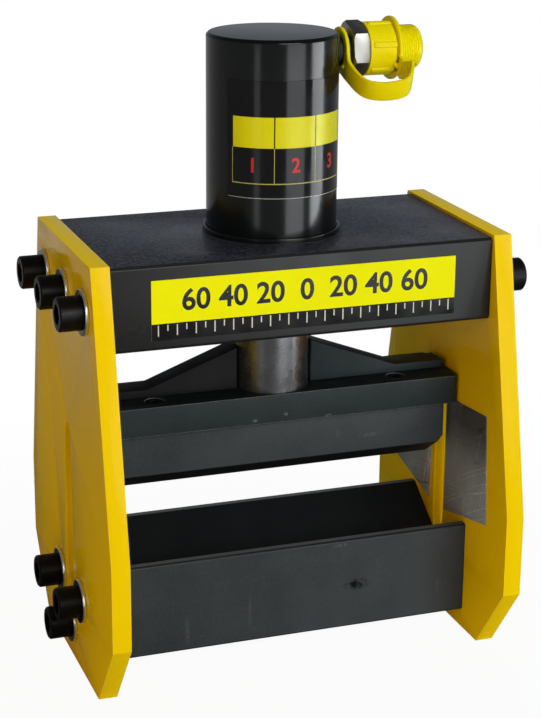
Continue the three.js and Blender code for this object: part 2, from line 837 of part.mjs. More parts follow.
// Check valve: a ball that its spring holds against the mouth of the plug
const ballRadius = ballDiameter / 2;
const ballCentre = valveSeat - Math.sqrt(ballRadius ** 2 - (valveMouth / 2) ** 2) - slide;
const ball = new THREE.SphereGeometry(ballRadius, smallSegments, smallSegments / 2);
addPiece("valve_ball", solid(ball.translate(ballCentre, 0, portHeight)), brightSteel);
addPiece(
  "valve_spring",
  coilSpring(
    "x",
    oilWay / 2 + valveWire / 2 + slide,
    valveWire,
    valveFloor,
    ballCentre - Math.sqrt(ballRadius ** 2 - (oilWay / 2) ** 2),
    valveTurns,
    0,
    0,
    portHeight,
  ),
  brightSteel,
);

// Dust cap: a ribbed sleeve over the plug, a neck for the strap's ring, and a ridged stub
function dustCap() {
  const capStart = plugStart + fit;
  const grooveRadiusOfCap = capGrooveDiameter / 2;
  const stub = stubDiameter / 2;
  const profile = [
    [capInner, capStart],
    [capOuter, capStart],
    [capOuter, capGrooveStart],
    [grooveRadiusOfCap, capGrooveStart],
    [grooveRadiusOfCap, stubStart],
  ];
  const ridgePitch = (stubLength - stubDomeHeight) / stubRidgeCount;
  for (let i = 0; i < stubRidgeCount; i += 1) {
    const foot = stubStart + i * ridgePitch;
    profile.push([stub - stubRidgeDepth, foot], [stub, foot + ridgePitch / 2]);
  }
  const domeFoot = stubEnd - stubDomeHeight;
  profile.push([stub - stubRidgeDepth, domeFoot]);
  for (let i = 1; i <= domeSteps; i += 1) {
    const turn = (i / domeSteps) * (Math.PI / 3);
    const rise = stubDomeHeight * (Math.sin(turn) / Math.sin(Math.PI / 3));
    profile.push([(stub - stubRidgeDepth) * Math.cos(turn), domeFoot + rise]);
  }
  profile.push([0, stubEnd], [0, capCavityEnd], [capInner, capCavityEnd], [capInner, capStart]);
  let cap = turned("x", profile, smallSegments, 0, 0, portHeight);
  for (let i = 0; i < capRibCount; i += 1) {
    const rib = block(
      capStart + capRibSetback,
      capGrooveStart,
      -capRibWidth / 2,
      capRibWidth / 2,
      capInner + capWall / 2,
      capOuter + capRibHeight,
    );
    const turn = capRibTurn + (i / capRibCount) * 360;
    cap = cap.add(rib.rotate([turn, 0, 0]).translate([0, 0, portHeight]));
  }
  return cap;
}

addPiece("dust_cap", dustCap(), capYellow);

// Strap: a ring in the cap's neck, an eyelet round the nipple, and a flat band between them
const ringStart = capGrooveStart + (capGrooveWidth - ringThickness) / 2;
const ringRadius = ringDiameter / 2;
const bandHalf = bandWidth / 2;
const eyeletStart = barrelRadius + (neckLength - bandThickness) / 2;

function strapRing() {
  const hoop = ring(
    "x",
    capGrooveDiameter / 2 + fit,
    ringRadius,
    ringStart,
    ringStart + ringThickness,
    smallSegments,
  );
  const tab = block(
    ringStart,
    ringStart + ringThickness,
    -bandHalf,
    bandHalf,
    -ringRadius - tabLength,
    tabLength - ringRadius,
  );
  return hoop.add(tab.rotate([-bandEndTilt, 0, 0])).translate([0, 0, portHeight]);
}

addPiece("strap_ring", strapRing(), capYellow);

// The band's middle line: a share of the way from the eyelet to the ring, a share of the band's
// reach, and the degrees that it is turned there from straight down towards the front
const bandStations = [
  [0, 0.23, 47],
  [0, 0.41, 53],
  [0.14, 0.78, 59],
  [0.485, 0.97, 65],
  [0.8, 1, 70],
  [0.98, 0.78, 76],
  [1.03, 0.62, 70],
];
const bandTilts = [...bandStations.map(([, , tilt]) => tilt), bandEndTilt];

function strapBand() {
  const eyeletMiddle = eyeletStart + bandThickness / 2;
  const span = ringStart + ringThickness / 2 - eyeletMiddle;
  const path = new THREE.SplineCurve([
    ...bandStations.map(([x, reach]) => new THREE.Vector2(eyeletMiddle + x * span, reach * bandReach)),
    new THREE.Vector2(eyeletMiddle + span, ringRadius + tabLength + fit),
  ]);
  const positions = [];
  const faces = [];
  for (let i = 0; i <= bandSteps; i += 1) {
    const share = i / bandSteps;
    const place = share * bandStations.length;
    const before = Math.min(Math.floor(place), bandStations.length - 1);
    const degrees = THREE.MathUtils.lerp(bandTilts[before], bandTilts[before + 1], place - before);
    const tilt = THREE.MathUtils.degToRad(degrees);
    const down = new THREE.Vector3(0, -Math.sin(tilt), -Math.cos(tilt));
    const across = new THREE.Vector3(0, Math.cos(tilt), -Math.sin(tilt));
    const middle = path.getPoint(share);
    const along = path.getTangent(share);
    for (const [u, v] of [[-1, -1], [1, -1], [1, 1], [-1, 1]]) {
      const half = (v * bandThickness) / 2;
      const corner = new THREE.Vector3(middle.x + half * along.y, 0, portHeight)
        .addScaledVector(down, middle.y - half * along.x)
        .addScaledVector(across, u * bandHalf);
      positions.push(...corner.toArray());
    }
  }
  for (let i = 0; i < bandSteps; i += 1) {
    for (let k = 0; k < 4; k += 1) {
      const [a, b] = [i * 4 + k, i * 4 + ((k + 1) % 4)];
      faces.push(a, b, a + 4, b, b + 4, a + 4);
    }
  }
  const last = bandSteps * 4;
  faces.push(0, 2, 1, 0, 3, 2, last, last + 1, last + 2, last, last + 2, last + 3);
  const band = new THREE.BufferGeometry();
  band.setAttribute("position", new THREE.Float32BufferAttribute(positions, 3));
  band.setIndex(faces);
  return solid(band);
}

function capStrap() {
  const eyelet = ring(
    "x",
    neckDiameter / 2 + fit,
    eyeletDiameter / 2,
    eyeletStart,
    eyeletStart + bandThickness,
    smallSegments,
    0,
    0,
    portHeight,
  );
  return eyelet.add(strapBand());
}

addPiece("cap_strap", capStrap(), capYellow);

export default group;
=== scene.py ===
# %% [markdown]
# # A hydraulic busbar bender, dressed for the camera
#
# The machine bends flat copper bars: a cylinder on top presses a blunt V punch into a V die, and
# two thick yellow plates hold everything together. The solids come from CAD and stay the fixed
# frame. Here they get rounded edges, real screws, paint, steel, print and light.
# %% The frame
import math

import bmesh
import bpy
from mathutils import Matrix, Vector


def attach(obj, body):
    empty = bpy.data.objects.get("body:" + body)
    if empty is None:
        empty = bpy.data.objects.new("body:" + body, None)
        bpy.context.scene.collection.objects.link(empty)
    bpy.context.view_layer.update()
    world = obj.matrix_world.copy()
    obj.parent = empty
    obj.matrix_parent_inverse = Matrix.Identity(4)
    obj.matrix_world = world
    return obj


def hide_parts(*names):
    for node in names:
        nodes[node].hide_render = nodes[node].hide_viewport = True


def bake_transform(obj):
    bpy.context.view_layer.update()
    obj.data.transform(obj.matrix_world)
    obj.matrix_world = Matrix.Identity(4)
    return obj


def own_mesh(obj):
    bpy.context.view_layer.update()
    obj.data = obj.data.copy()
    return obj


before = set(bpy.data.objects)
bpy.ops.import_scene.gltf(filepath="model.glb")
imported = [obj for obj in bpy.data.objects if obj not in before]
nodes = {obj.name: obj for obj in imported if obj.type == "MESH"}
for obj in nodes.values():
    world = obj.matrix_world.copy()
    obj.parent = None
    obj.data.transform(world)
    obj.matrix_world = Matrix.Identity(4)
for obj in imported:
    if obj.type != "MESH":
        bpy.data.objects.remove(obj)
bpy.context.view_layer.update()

MM = 0.001

# %% [markdown]
# ## Camera
#
# The photograph was taken from the front left and a little above, about a metre away. A camera
# needs a place, a direction and a lens. Yaw turns it round the vertical, pitch tips it down and
# roll leans it sideways. The three are turned into one matrix, whose columns are the camera's
# right, its up and the way behind it.
# %% Camera
camera_place = Vector((-0.333774, -0.934141, 0.478055))
yaw, pitch, roll = (math.radians(a) for a in (19.679, 17.7315, 0.484))

ahead = Vector((math.sin(yaw) * math.cos(pitch), math.cos(yaw) * math.cos(pitch), -math.sin(pitch)))
level = Vector((math.cos(yaw), -math.sin(yaw), 0))
upright = level.cross(ahead)
right = level * math.cos(roll) + upright * math.sin(roll)
up = upright * math.cos(roll) - level * math.sin(roll)

camera_data = bpy.data.cameras.new("camera")
camera_data.lens = 94.80
camera_data.sensor_width = 36
camera_data.clip_start = 0.05
camera = bpy.data.objects.new("camera", camera_data)
bpy.context.collection.objects.link(camera)
turn = Matrix((right, up, -ahead)).transposed().to_4x4()
camera.matrix_world = Matrix.Translation(camera_place) @ turn
bpy.context.scene.camera = camera
print("camera", [round(c, 3) for c in camera_place], "lens", camera_data.lens)

# %% [markdown]
# ## Nodes in a few words
#
# Materials, node groups and Geometry Nodes are all trees of nodes. A Tree makes a node, sets its
# settings and fills its inputs, each with a value or with another node's output. The nodes that
# come back most have short calls. A Group is a tree that others use like a single node.
# %% A helper for every tree
class Tree:
    """A node tree with short calls for the nodes that come back again and again."""

    def __init__(self, tree):
        self.tree = tree

    def fill(self, socket, value):
        """Gives an input a value, or links another node's output to it."""
        if isinstance(value, bpy.types.NodeSocket):
            self.tree.links.new(value, socket)
        else:
            socket.default_value = value

    def node(self, kind, inputs=None, **settings):
        """A new node, a shader node if its kind says no other. inputs maps sockets to what fills them."""
        made = self.tree.nodes.new(kind if "Node" in kind else "ShaderNode" + kind)
        for name, value in settings.items():
            setattr(made, name, value)
        for key, value in (inputs or {}).items():
            for one in value if isinstance(value, list) else [value]:
                self.fill(made.inputs[key], one)
        return made

    def out(self, kind, inputs=None, **settings):
        """The first output of a new node."""
        return self.node(kind, inputs, **settings).outputs[0]

    def geo(self, kind, inputs=None, **settings):
        return self.out("GeometryNode" + kind, inputs, **settings)

    def math(self, operation, *values, clamp=False):
        """A Math node, given by its operation and its values or outputs, in their order."""
        return self.out("Math", dict(enumerate(values)), operation=operation, use_clamp=clamp)

    def times(self, one, other, clamp=False):
        return self.math("MULTIPLY", one, other, clamp=clamp)

    def minus(self, one, other):
        return self.math("SUBTRACT", one, other)

    def vector(self, operation, *values):
        """A Vector Math node. A length and a dot product are numbers, all else is a vector."""
        made = self.node("VectorMath", dict(enumerate(values)), operation=operation)
        return made.outputs["Value" if operation in ("LENGTH", "DOT_PRODUCT") else "Vector"]

    def xyz(self, **parts):
        return self.out("CombineXYZ", parts)

    def part(self, vector, letter):
        return self.node("SeparateXYZ", {0: vector}).outputs[letter]

    def ramp(self, value, low, high, to_low=0.0, to_high=1.0, **settings):
        """Stretches low to high into to_low to to_high, and holds it there outside."""
        inputs = dict(enumerate((value, low, high, to_low, to_high)))
        return self.out("MapRange", inputs, **settings)

    def noise(self, place, scale, detail, **more):
        return self.out("TexNoise", {"Vector": place, "Scale": scale, "Detail": detail, **more})

    def mix(self, factor, low, high):
        """A number between two."""
        return self.out("Mix", {0: factor, 2: low, 3: high})

    def tint(self, factor, *colors):
        """A colour between two: each is (r, g, b) or an output."""
        first, second = (c if isinstance(c, bpy.types.NodeSocket) else (*c, 1) for c in colors)
        return self.node("Mix", {0: factor, 6: first, 7: second}, data_type="RGBA").outputs[2]


class Group(Tree):
    """A node group. An input is a value or the name of a type, and the output is (name, type)."""

    def __init__(self, name, inputs, output=("Mask", "Float"), kind="ShaderNodeTree"):
        super().__init__(bpy.data.node_groups.new(name, kind))
        types = {float: "Float", int: "Int", tuple: "Vector"}
        new_socket = self.tree.interface.new_socket
        for label, value in inputs.items():
            named = value if isinstance(value, str) else types[type(value)]
            socket = new_socket(label, in_out="INPUT", socket_type="NodeSocket" + named)
            if not isinstance(value, str):
                socket.default_value = value
        new_socket(output[0], in_out="OUTPUT", socket_type="NodeSocket" + output[1])
        self.put = self.tree.nodes.new("NodeGroupInput").outputs
        self.end = self.tree.nodes.new("NodeGroupOutput")

    def give(self, value):
        self.fill(self.end.inputs[0], value)


def emptied(owner):
    """The node tree of a world or a material, without the nodes that it starts with."""
    owner.use_nodes = True
    owner.node_tree.nodes.clear()
    return owner.node_tree


# %% [markdown]
# ## Light and floor
#
# The photograph is a studio shot on white: a broad light from the front right, the left side in
# shade. The world is white where the camera sees it, dimmer and slightly blue in a reflection, and
# only a faint light, so that the lamps decide what is bright. Upright strips stand where the black
# barrel mirrors its bands of light, and they light nothing. The floor shines nearly white for the
# camera and takes the small rest from the lamps, so that it keeps a soft shadow. In a reflection
# it is dark near the machine and brighter further out.
# %% The world
ambient = 0.11
glow_at_horizon, glow_above = 0.38, 0.12
mirror_tint = (0.84, 0.90, 1.0)

world = bpy.data.worlds.new("studio")
bpy.context.scene.world = world
sky = Tree(emptied(world))


def ray_kinds(tree):
    """Two masks: 1 for rays from the camera or through glass, and 1 for rays from a reflection."""
    path = tree.node("LightPath").outputs
    seen = tree.math("MAXIMUM", path["Is Camera Ray"], path["Is Transmission Ray"])
    return seen, path["Is Glossy Ray"]


seen, mirrored = ray_kinds(sky)
heading = sky.node("TexCoord").outputs["Generated"]
in_mirror = sky.ramp(sky.part(heading, "Z"), 0.0, 0.6, glow_at_horizon, glow_above)
strength = sky.mix(seen, sky.mix(mirrored, ambient, in_mirror), 1.0)
sky_color = sky.tint(mirrored, (1, 1, 1), mirror_tint)
background = sky.out("Background", {"Color": sky_color, "Strength": strength})
sky.node("OutputWorld", {"Surface": background})

bpy.context.scene.view_settings.view_transform = "Standard"
print("world lights at", ambient)

# %% The lamps
lamps_aim_at = Vector((0, 0, 0.15))


def add_lamp(name, azimuth, distance, height, size, power, color=(1, 1, 1), mirrored=True, lights=True):
    """A soft rectangle of light. Azimuth 0 stands in front of the machine and 90 to its right.

    Surfaces mirror it, it lights them, or both.
    """
    data = bpy.data.lights.new(name, "AREA")
    data.shape = "RECTANGLE"
    data.size, data.size_y = size
    data.energy = power
    data.color = color
    lamp = bpy.data.objects.new(name, data)
    bpy.context.collection.objects.link(lamp)
    angle = math.radians(azimuth)
    lamp.location = (distance * math.sin(angle), -distance * math.cos(angle), height)
    lamp.rotation_euler = (lamps_aim_at - lamp.location).to_track_quat("-Z", "Y").to_euler()
    lamp.visible_camera = False
    lamp.visible_glossy = mirrored
    lamp.visible_diffuse = lights


add_lamp("strip_right", 64, 0.80, 0.15, (0.36, 0.30), 4.2, (0.93, 0.97, 1.0), lights=False)
add_lamp("strip_front", 21, 0.80, 0.15, (0.46, 0.30), 2.2, (0.94, 0.98, 1.0), lights=False)
add_lamp("strip_left", -44.5, 0.80, 0.15, (0.13, 0.30), 0.26, (0.90, 0.98, 1.0), lights=False)
add_lamp("big_front", 12, 2.2, 1.1, (1.4, 1.0), 34)
add_lamp("warm_left", -52, 2.0, 0.6, (1.0, 1.0), 6.4, (1.0, 0.46, 0.12), mirrored=False)
add_lamp("overhead", 150, 1.5, 1.9, (1.6, 1.6), 12, mirrored=False)
add_lamp("fill_back", 170, 2.2, 0.7, (1.2, 1.2), 9, mirrored=False)

# %% The floor
floor_radius, floor_corners = 6, 96
angles = [2 * math.pi * i / floor_corners for i in range(floor_corners)]
floor_rim = [(floor_radius * math.cos(a), floor_radius * math.sin(a), 0) for a in angles]
floor_mesh = bpy.data.meshes.new("floor")
floor_mesh.from_pydata(floor_rim, [], [tuple(range(floor_corners))])
floor = bpy.data.objects.new("floor", floor_mesh)
bpy.context.collection.objects.link(floor)

floor_paint = bpy.data.materials.new("floor_paint")
tree = Tree(emptied(floor_paint))
radius = tree.vector("LENGTH", tree.node("TexCoord").outputs["Object"])
white_near, white_far, mirrored_near, mirrored_far, floor_tone = 0.95, 1.0, 0.05, 0.42, 0.84
whiteness = tree.ramp(radius, 0.1, 0.5, white_near, white_far, interpolation_type="SMOOTHERSTEP")
seen, mirrored = ray_kinds(tree)
share = tree.math("MAXIMUM", tree.times(whiteness, seen), mirrored)
glow = tree.mix(mirrored, 1.0, tree.ramp(radius, 0.25, 0.9, mirrored_near, mirrored_far))
lit = tree.out("BsdfDiffuse", {"Color": (floor_tone, floor_tone, floor_tone, 1)})
white = tree.out("Emission", {"Color": (1, 1, 1, 1), "Strength": glow})
blended = tree.out("MixShader", {0: share, 1: lit, 2: white})
tree.node("OutputMaterial", {"Surface": blended})
floor_mesh.materials.append(floor_paint)
print("floor radius", floor_radius, "m")

# %% [markdown]
# ## Effects that several finishes share
#
# Real paint and steel are never even. Each effect is a node group that is built once and placed in
# many materials with its own values. All of them work in object space, in metres, so a scale of
# 400 gives marks about 2.5 mm apart. A group only puts out a mask or a normal, and the shader
# itself stays in the material.
# %% Effect: worn edges with a painted edge highlight
tree = edge_wear = Group("edge_wear", {
    "Vector": "Vector", "Width": 0.0008, "Break Up": 0.5, "Scale": 300.0,
})
put = tree.put
# The mask finds the edges, for wear and for a painted highlight along them.
rounded = tree.out("Bevel", {"Radius": put["Width"]}, samples=6)
facing = tree.node("NewGeometry").outputs["Normal"]
near_edge = tree.minus(1.0, tree.vector("DOT_PRODUCT", rounded, facing))
chips = tree.noise(put["Vector"], put["Scale"], 3.0)
broken = tree.mix(put["Break Up"], 1.0, tree.ramp(chips, 0.42, 0.6))
tree.give(tree.times(tree.ramp(near_edge, 0.02, 0.16), broken, clamp=True))

# %% Effect: hairline scratches
tree = scratches = Group("hairline_scratches", {
    "Vector": "Vector", "Turn": (0, 0, 0), "Scale": 60.0, "Width": 0.012, "Coverage": 0.5, "Bend": 0.012,
    "Stretch": (0.09, 1.0, 1.0),
})
put = tree.put
turned_at = tree.out("Mapping", {"Vector": put["Vector"], "Rotation": put["Turn"]})
wobble = tree.node("TexNoise", {"Vector": turned_at, "Scale": 25.0, "Detail": 1.0})
pushed = tree.out("VectorMath", {0: wobble.outputs["Color"], "Scale": put["Bend"]}, operation="SCALE")
drawn = tree.vector("MULTIPLY", tree.vector("ADD", turned_at, pushed), put["Stretch"])
from_line = tree.math("ABSOLUTE", tree.minus(tree.noise(drawn, put["Scale"], 2.0), 0.5))
line = tree.ramp(from_line, 0.0, put["Width"], 1.0, 0.0)
bare = tree.minus(1.0, put["Coverage"])
here = tree.times(tree.minus(tree.noise(turned_at, 34.0, 3.0), bare), 8.0, clamp=True)
tree.give(tree.times(line, here, clamp=True))

# %% Effect: cloudy patches
tree = clouds = Group("clouds", {
    "Vector": "Vector", "Scale": 30.0, "Low": 0.0, "High": 1.0,
}, ("Value", "Float"))
cloud = tree.noise(tree.put["Vector"], tree.put["Scale"], 4.0, Roughness=0.6)
tree.give(tree.ramp(cloud, 0.3, 0.7, tree.put["Low"], tree.put["High"]))

# %% Effect: what faces up, or down with negative values
tree = facing_up = Group("facing_up", {"From": 0.7, "To": 0.95})
normal = tree.node("NewGeometry").outputs["True Normal"]
tree.give(tree.ramp(tree.part(normal, "Z"), tree.put["From"], tree.put["To"]))

# %% Effect: a scuff at one place
tree = scuff_at = Group("scuff_at", {
    "Vector": "Vector", "Centre": (0, 0, 0), "Size": (0.01, 0.01, 0.01), "Scale": 900.0,
})
put = tree.put
away = tree.vector("SUBTRACT", put["Vector"], put["Centre"])
far = tree.vector("LENGTH", tree.vector("DIVIDE", away, put["Size"]))
torn = tree.ramp(tree.noise(put["Vector"], put["Scale"], 3.0), 0.42, 0.58)
tree.give(tree.times(tree.ramp(far, 0.2, 1.0, 1.0, 0.0), torn, clamp=True))

# %% Effect: a fine uneven skin
tree = skin = Group("fine_skin", {"Vector": "Vector", "Scale": 400.0, "Depth": 0.00002}, ("Normal", "Vector"))
ripple = tree.noise(tree.put["Vector"], tree.put["Scale"], 2.0)
tree.give(tree.out("Bump", {"Height": ripple, "Distance": tree.put["Depth"], "Strength": 1.0}))
print("shared effects:", [g.name for g in bpy.data.node_groups])

# %% [markdown]
# ## Finishes
#
# A finish starts from a Principled shader with its plain values. Colours are then laid over the
# base one by one, each through a mask, and what changes over the surface is linked in at the end.
# The reflections are kept low on the blacks and the yellow, because in the photograph these paints
# stay deep and clean beside a white background.
# %% The start of every finish
finishes = {}


class Finish(Tree):
    """A material with one Principled shader, dressed in layers that work in object space."""

    def __init__(self, name, color, roughness, specular=0.5, metallic=0.0):
        finishes[name] = bpy.data.materials.new(name)
        finishes[name].diffuse_color = (*color, 1)
        super().__init__(emptied(finishes[name]))
        values = {"Base Color": (*color, 1), "Roughness": roughness, "Metallic": metallic}
        self.shader = self.node("BsdfPrincipled", {**values, "Specular IOR Level": specular})
        self.node("OutputMaterial", {"Surface": self.shader.outputs[0]})
        self.place = self.node("TexCoord").outputs["Object"]
        self.base = color

    def effect(self, group, **inputs):
        """Places a shared effect and returns its output. Break_Up means Break Up."""
        named = {key.replace("_", " "): value for key, value in inputs.items()}
        if "Vector" in group.put:
            named["Vector"] = self.place
        return self.out("Group", named, node_tree=group.tree)

    def cloud(self, scale, low, high):
        return self.effect(clouds, Scale=scale, Low=low, High=high)

    def layer(self, mask, color, strength=1.0):
        """Lays a colour over the base where the mask is, as strongly as it says."""
        if strength < 1:
            mask = self.times(mask, strength)
        self.base = self.tint(mask, self.base, color)

    def wear(self, width, break_up, scale, color, strength=1.0):
        """Lays a lighter colour on the edges: rubbed paint with a painted edge highlight."""
        self.layer(self.effect(edge_wear, Width=width, Break_Up=break_up, Scale=scale), color, strength)

    def done(self, cloudy, fine=None, normal=None):
        """Links the base, rough clouds (scale, low, high), and a fine skin (scale, depth) or a normal."""
        if fine is not None:
            normal = self.effect(skin, Scale=fine[0], Depth=fine[1])
        varied = {"Base Color": self.base, "Roughness": self.cloud(*cloudy), "Normal": normal}
        for socket, value in varied.items():
            if value is not None:
                self.fill(self.shader.inputs[socket], value)


def lighter(color, times, plus=0.0):
    return tuple(min(1.0, times * c + plus) for c in color)


# %% Finish: yellow paint, smooth enough to mirror the screw heads
paint = Finish("yellow_paint", (0.97, 0.70, 0.001), 0.14, specular=0.04)
paint.layer(paint.cloud(14.0, 0.0, 0.08), (0.82, 0.49, 0.001))
# Painted highlight: a lighter yellow along the edges.
paint.wear(0.0006, 0.55, 160.0, (1.0, 0.86, 0.22), 0.55)
paint.done((40.0, 0.10, 0.16), fine=(330.0, 0.000003))

# %% Finish: black paint of the beam, smooth in front and finely textured on top, with a painted sky reflection on top
paint = Finish("black_paint", (0.014, 0.015, 0.015), 0.3, specular=0.19)
on_top = paint.effect(facing_up)
pores = paint.node("TexVoronoi", {"Vector": paint.place, "Scale": 620.0}).outputs["Distance"]
pits = {"Height": paint.times(pores, on_top), "Distance": 0.00016, "Strength": 0.8}
# Painted reflection: the top is mottled lighter and bluish, over its real fine texture.
paint.layer(paint.times(paint.cloud(520.0, -0.3, 1.0), on_top, clamp=True), (0.072, 0.085, 0.130))
# Edges lighter: worn paint with a painted highlight.
paint.wear(0.0007, 0.75, 110.0, (0.34, 0.34, 0.33), 0.8)
paint.done((24.0, 0.26, 0.42), normal=paint.out("Bump", pits))

# %% Finish: gloss black of the barrel
paint = Finish("black_gloss", (0.003, 0.0042, 0.0042), 0.12, specular=0.25)
# Edges lighter: wear with a painted highlight.
paint.wear(0.0005, 0.8, 140.0, (0.22, 0.22, 0.21), 0.5)
paint.done((22.0, 0.13, 0.21), fine=(260.0, 0.000012))

# %% Finish: blackened steel of the die, the carrier and the punch
painted_shade = (0.001, 0.001, 0.001)
scuff_marks = 2.8


def oxide_finish(name, oxide, specular, top_share, scuffs=(), painted_level_light=None):
    """Blackened steel: cloudy, grainy, scuffed, lighter at its edges from wear and a painted highlight, and
    darker above and below as painted shade.

    scuffs are (centre, size, tone) in millimetres, and top_share is how light the top stays under its painted
    shade. What lies quite level may get a lighter colour of its own, given as the last argument, as painted
    light.
    """
    steel = Finish(name, oxide, 0.42, specular)
    steel.layer(steel.cloud(18.0, 0.0, 0.7), lighter(oxide, 1.9))
    steel.layer(steel.cloud(900.0, 0.0, 0.5), lighter(oxide, 3.2), 0.4)
    lines = steel.effect(scratches, Turn=(0.3, 0.6, 0.2), Scale=130.0, Width=0.004, Coverage=0.42)
    steel.layer(lines, (0.15, 0.15, 0.145), 0.45)
    # Painted shade on the tops and undersides, and painted light on level faces.
    steel.layer(steel.effect(facing_up, From=0.5, To=0.8), painted_shade, 1.0 - top_share)
    steel.layer(steel.effect(facing_up, From=-0.25, To=-0.6), painted_shade, 0.8)
    if painted_level_light is not None:
        steel.layer(steel.effect(facing_up, From=0.93, To=0.98), painted_level_light)
    for centre, size, tone in scuffs:
        centre, size = Vector(centre) * MM, Vector(size) * MM
        scuff = steel.effect(scuff_at, Centre=centre, Size=size, Scale=scuff_marks / size.x)
        steel.layer(scuff, (tone, tone, tone))
    # Edges lighter: wear with a painted highlight.
    steel.wear(0.0007, 0.35, 170.0, (0.44, 0.44, 0.43), 0.75)
    steel.done((55.0, 0.34, 0.56), fine=(700.0, 0.00003))


tool_scuffs = [
    ((39, -38, 36.4), (9, 4, 4.4), 0.001), ((37, -38, 36.8), (6, 4, 2.6), 0.001),
    ((-60, -38, 22), (2, 4, 11), 0.085), ((-24, -38, 29), (1.3, 4, 13), 0.08),
    ((-34.7, 13.4, 52.1), (1.1, 1.1, 1.1), 0.09), ((-27.3, 12.4, 51.5), (0.9, 0.9, 0.9), 0.11),
    ((-21.5, 11.7, 51.1), (1.1, 1.1, 1.1), 0.10), ((-28.8, 15.1, 53.1), (0.8, 0.8, 0.8), 0.09),
    ((30, -38, 61), (6, 4, 1.2), 0.12), ((88.5, -38, 28), (1.5, 4, 6), 0.09),
    ((34, -18, 119.3), (1.6, 4, 3), 0.09), ((52, -18, 117), (7, 4, 1.6), 0.10),
]
bar_scuffs = [
    ((-16.5, -23, 134.3), (1.7, 4, 1.3), 0.20), ((1.3, -23, 136.3), (1.5, 4, 1.3), 0.20),
    ((26, -23, 133), (3, 4, 0.9), 0.14),
]
oxide_finish("dark_steel", (0.028, 0.034, 0.038), 0.10, 0.2, tool_scuffs, painted_level_light=(0.085, 0.09, 0.096))
# The next two are darker copies of the same steel, as painted shade: the carrier under the beam, its left rib
# darker still.
oxide_finish("carrier_steel", (0.0145, 0.0205, 0.0225), 0.09, 0.35, bar_scuffs)
oxide_finish("deep_steel", (0.007, 0.007, 0.007), 0.05, 0.5)

# %% Finish: bright and plated steels
def steel_finish(name, dark, light, roughness, specular=0.5, metallic=0.9):
    """Metal with cloudy tone, hairlines and brighter edges from wear and a painted highlight, from its
    darkest and lightest colour.
    """
    steel = Finish(name, light, roughness, specular, metallic)
    steel.layer(steel.cloud(60.0, 0.0, 0.9), dark)
    steel.layer(steel.effect(scratches, Scale=240.0, Width=0.01, Coverage=0.6), dark, 0.4)
    steel.wear(0.0004, 0.4, 300.0, lighter(light, 1.9, 0.02), 0.8)
    steel.done((120.0, roughness - 0.08, roughness + 0.1), fine=(1500.0, 0.000008))


steel_finish("ram_steel", (0.10, 0.10, 0.105), (0.20, 0.20, 0.205), 0.28)
steel_finish("screw_black", (0.002, 0.002, 0.002), (0.004, 0.004, 0.004), 0.4, 0.12, 0.0)
steel_finish("spring_steel", (0.16, 0.16, 0.17), (0.30, 0.30, 0.31), 0.3)
steel_finish("coupler_steel", (0.235, 0.23, 0.212), (0.26, 0.255, 0.235), 0.34, 0.5, 1.0)
steel_finish("bronze", (0.34, 0.20, 0.08), (0.55, 0.36, 0.16), 0.35, 0.5, 1.0)

# %% Finish: washers, dull on their faces, with a painted highlight round the rim
steel = Finish("washer_steel", (0.16, 0.16, 0.155), 0.3, 0.5, 1.0)
steel.base = (0.17, 0.17, 0.165)
steel.layer(steel.cloud(90.0, 0.0, 0.9), (0.10, 0.10, 0.095))
outward = steel.node("NewGeometry").outputs["Normal"]
along_axis = steel.math("ABSOLUTE", steel.part(outward, "X"))
# Painted highlight: where the surface turns away from the axis, round the rim, the colour is pale.
steel.layer(steel.ramp(along_axis, 0.97, 0.7), (0.85, 0.85, 0.82))
steel.done((120.0, 0.22, 0.38))

# %% Finish: thin scratched plates, with painted shade near the carrier bar
# The plates are black; the bluish grey of this colour is a painted reflection.
sheet = Finish("gauge_black", (0.36, 0.45, 0.54), 0.34, specular=0.2)
sheet.layer(sheet.cloud(34.0, 0.0, 0.6), (0.20, 0.25, 0.30))
# Painted shade: the plates darken towards their top, under the carrier bar.
sheet.layer(sheet.ramp(sheet.part(sheet.place, "Z"), 0.096, 0.122), (0.09, 0.11, 0.13))
pale, dark = (0.66, 0.74, 0.82), (0.02, 0.022, 0.025)
quarter_turn = 1.5708
for tilt, scale, coverage, tone in (
    (0.5, 90.0, 0.6, pale), (-0.7, 120.0, 0.6, dark), (1.35, 70.0, 0.58, pale), (0.2, 110.0, 0.6, dark),
):
    lines = sheet.effect(
        scratches, Turn=(tilt, 0.0, quarter_turn), Scale=scale, Width=0.008, Coverage=coverage,
        Bend=0.003, Stretch=(0.04, 1.0, 1.0),
    )
    sheet.layer(lines, tone, 0.7)
# Edges lighter: wear with a painted highlight.
sheet.wear(0.0003, 0.25, 200.0, (0.42, 0.41, 0.38))
sheet.done((50.0, 0.25, 0.5), fine=(300.0, 0.00003))

# %% Finish: printed film, moulded plastic and rubber
def plain_finish(name, color, second, roughness, specular, scale, depth=0.00001):
    """Plastic, print or rubber: two near colours in soft clouds, with a fine skin."""
    plain = Finish(name, color, roughness, specular)
    plain.layer(plain.cloud(scale, 0.0, 1.0), second)
    plain.done((2.5 * scale, roughness - 0.06, roughness + 0.08), fine=(12 * scale, depth))


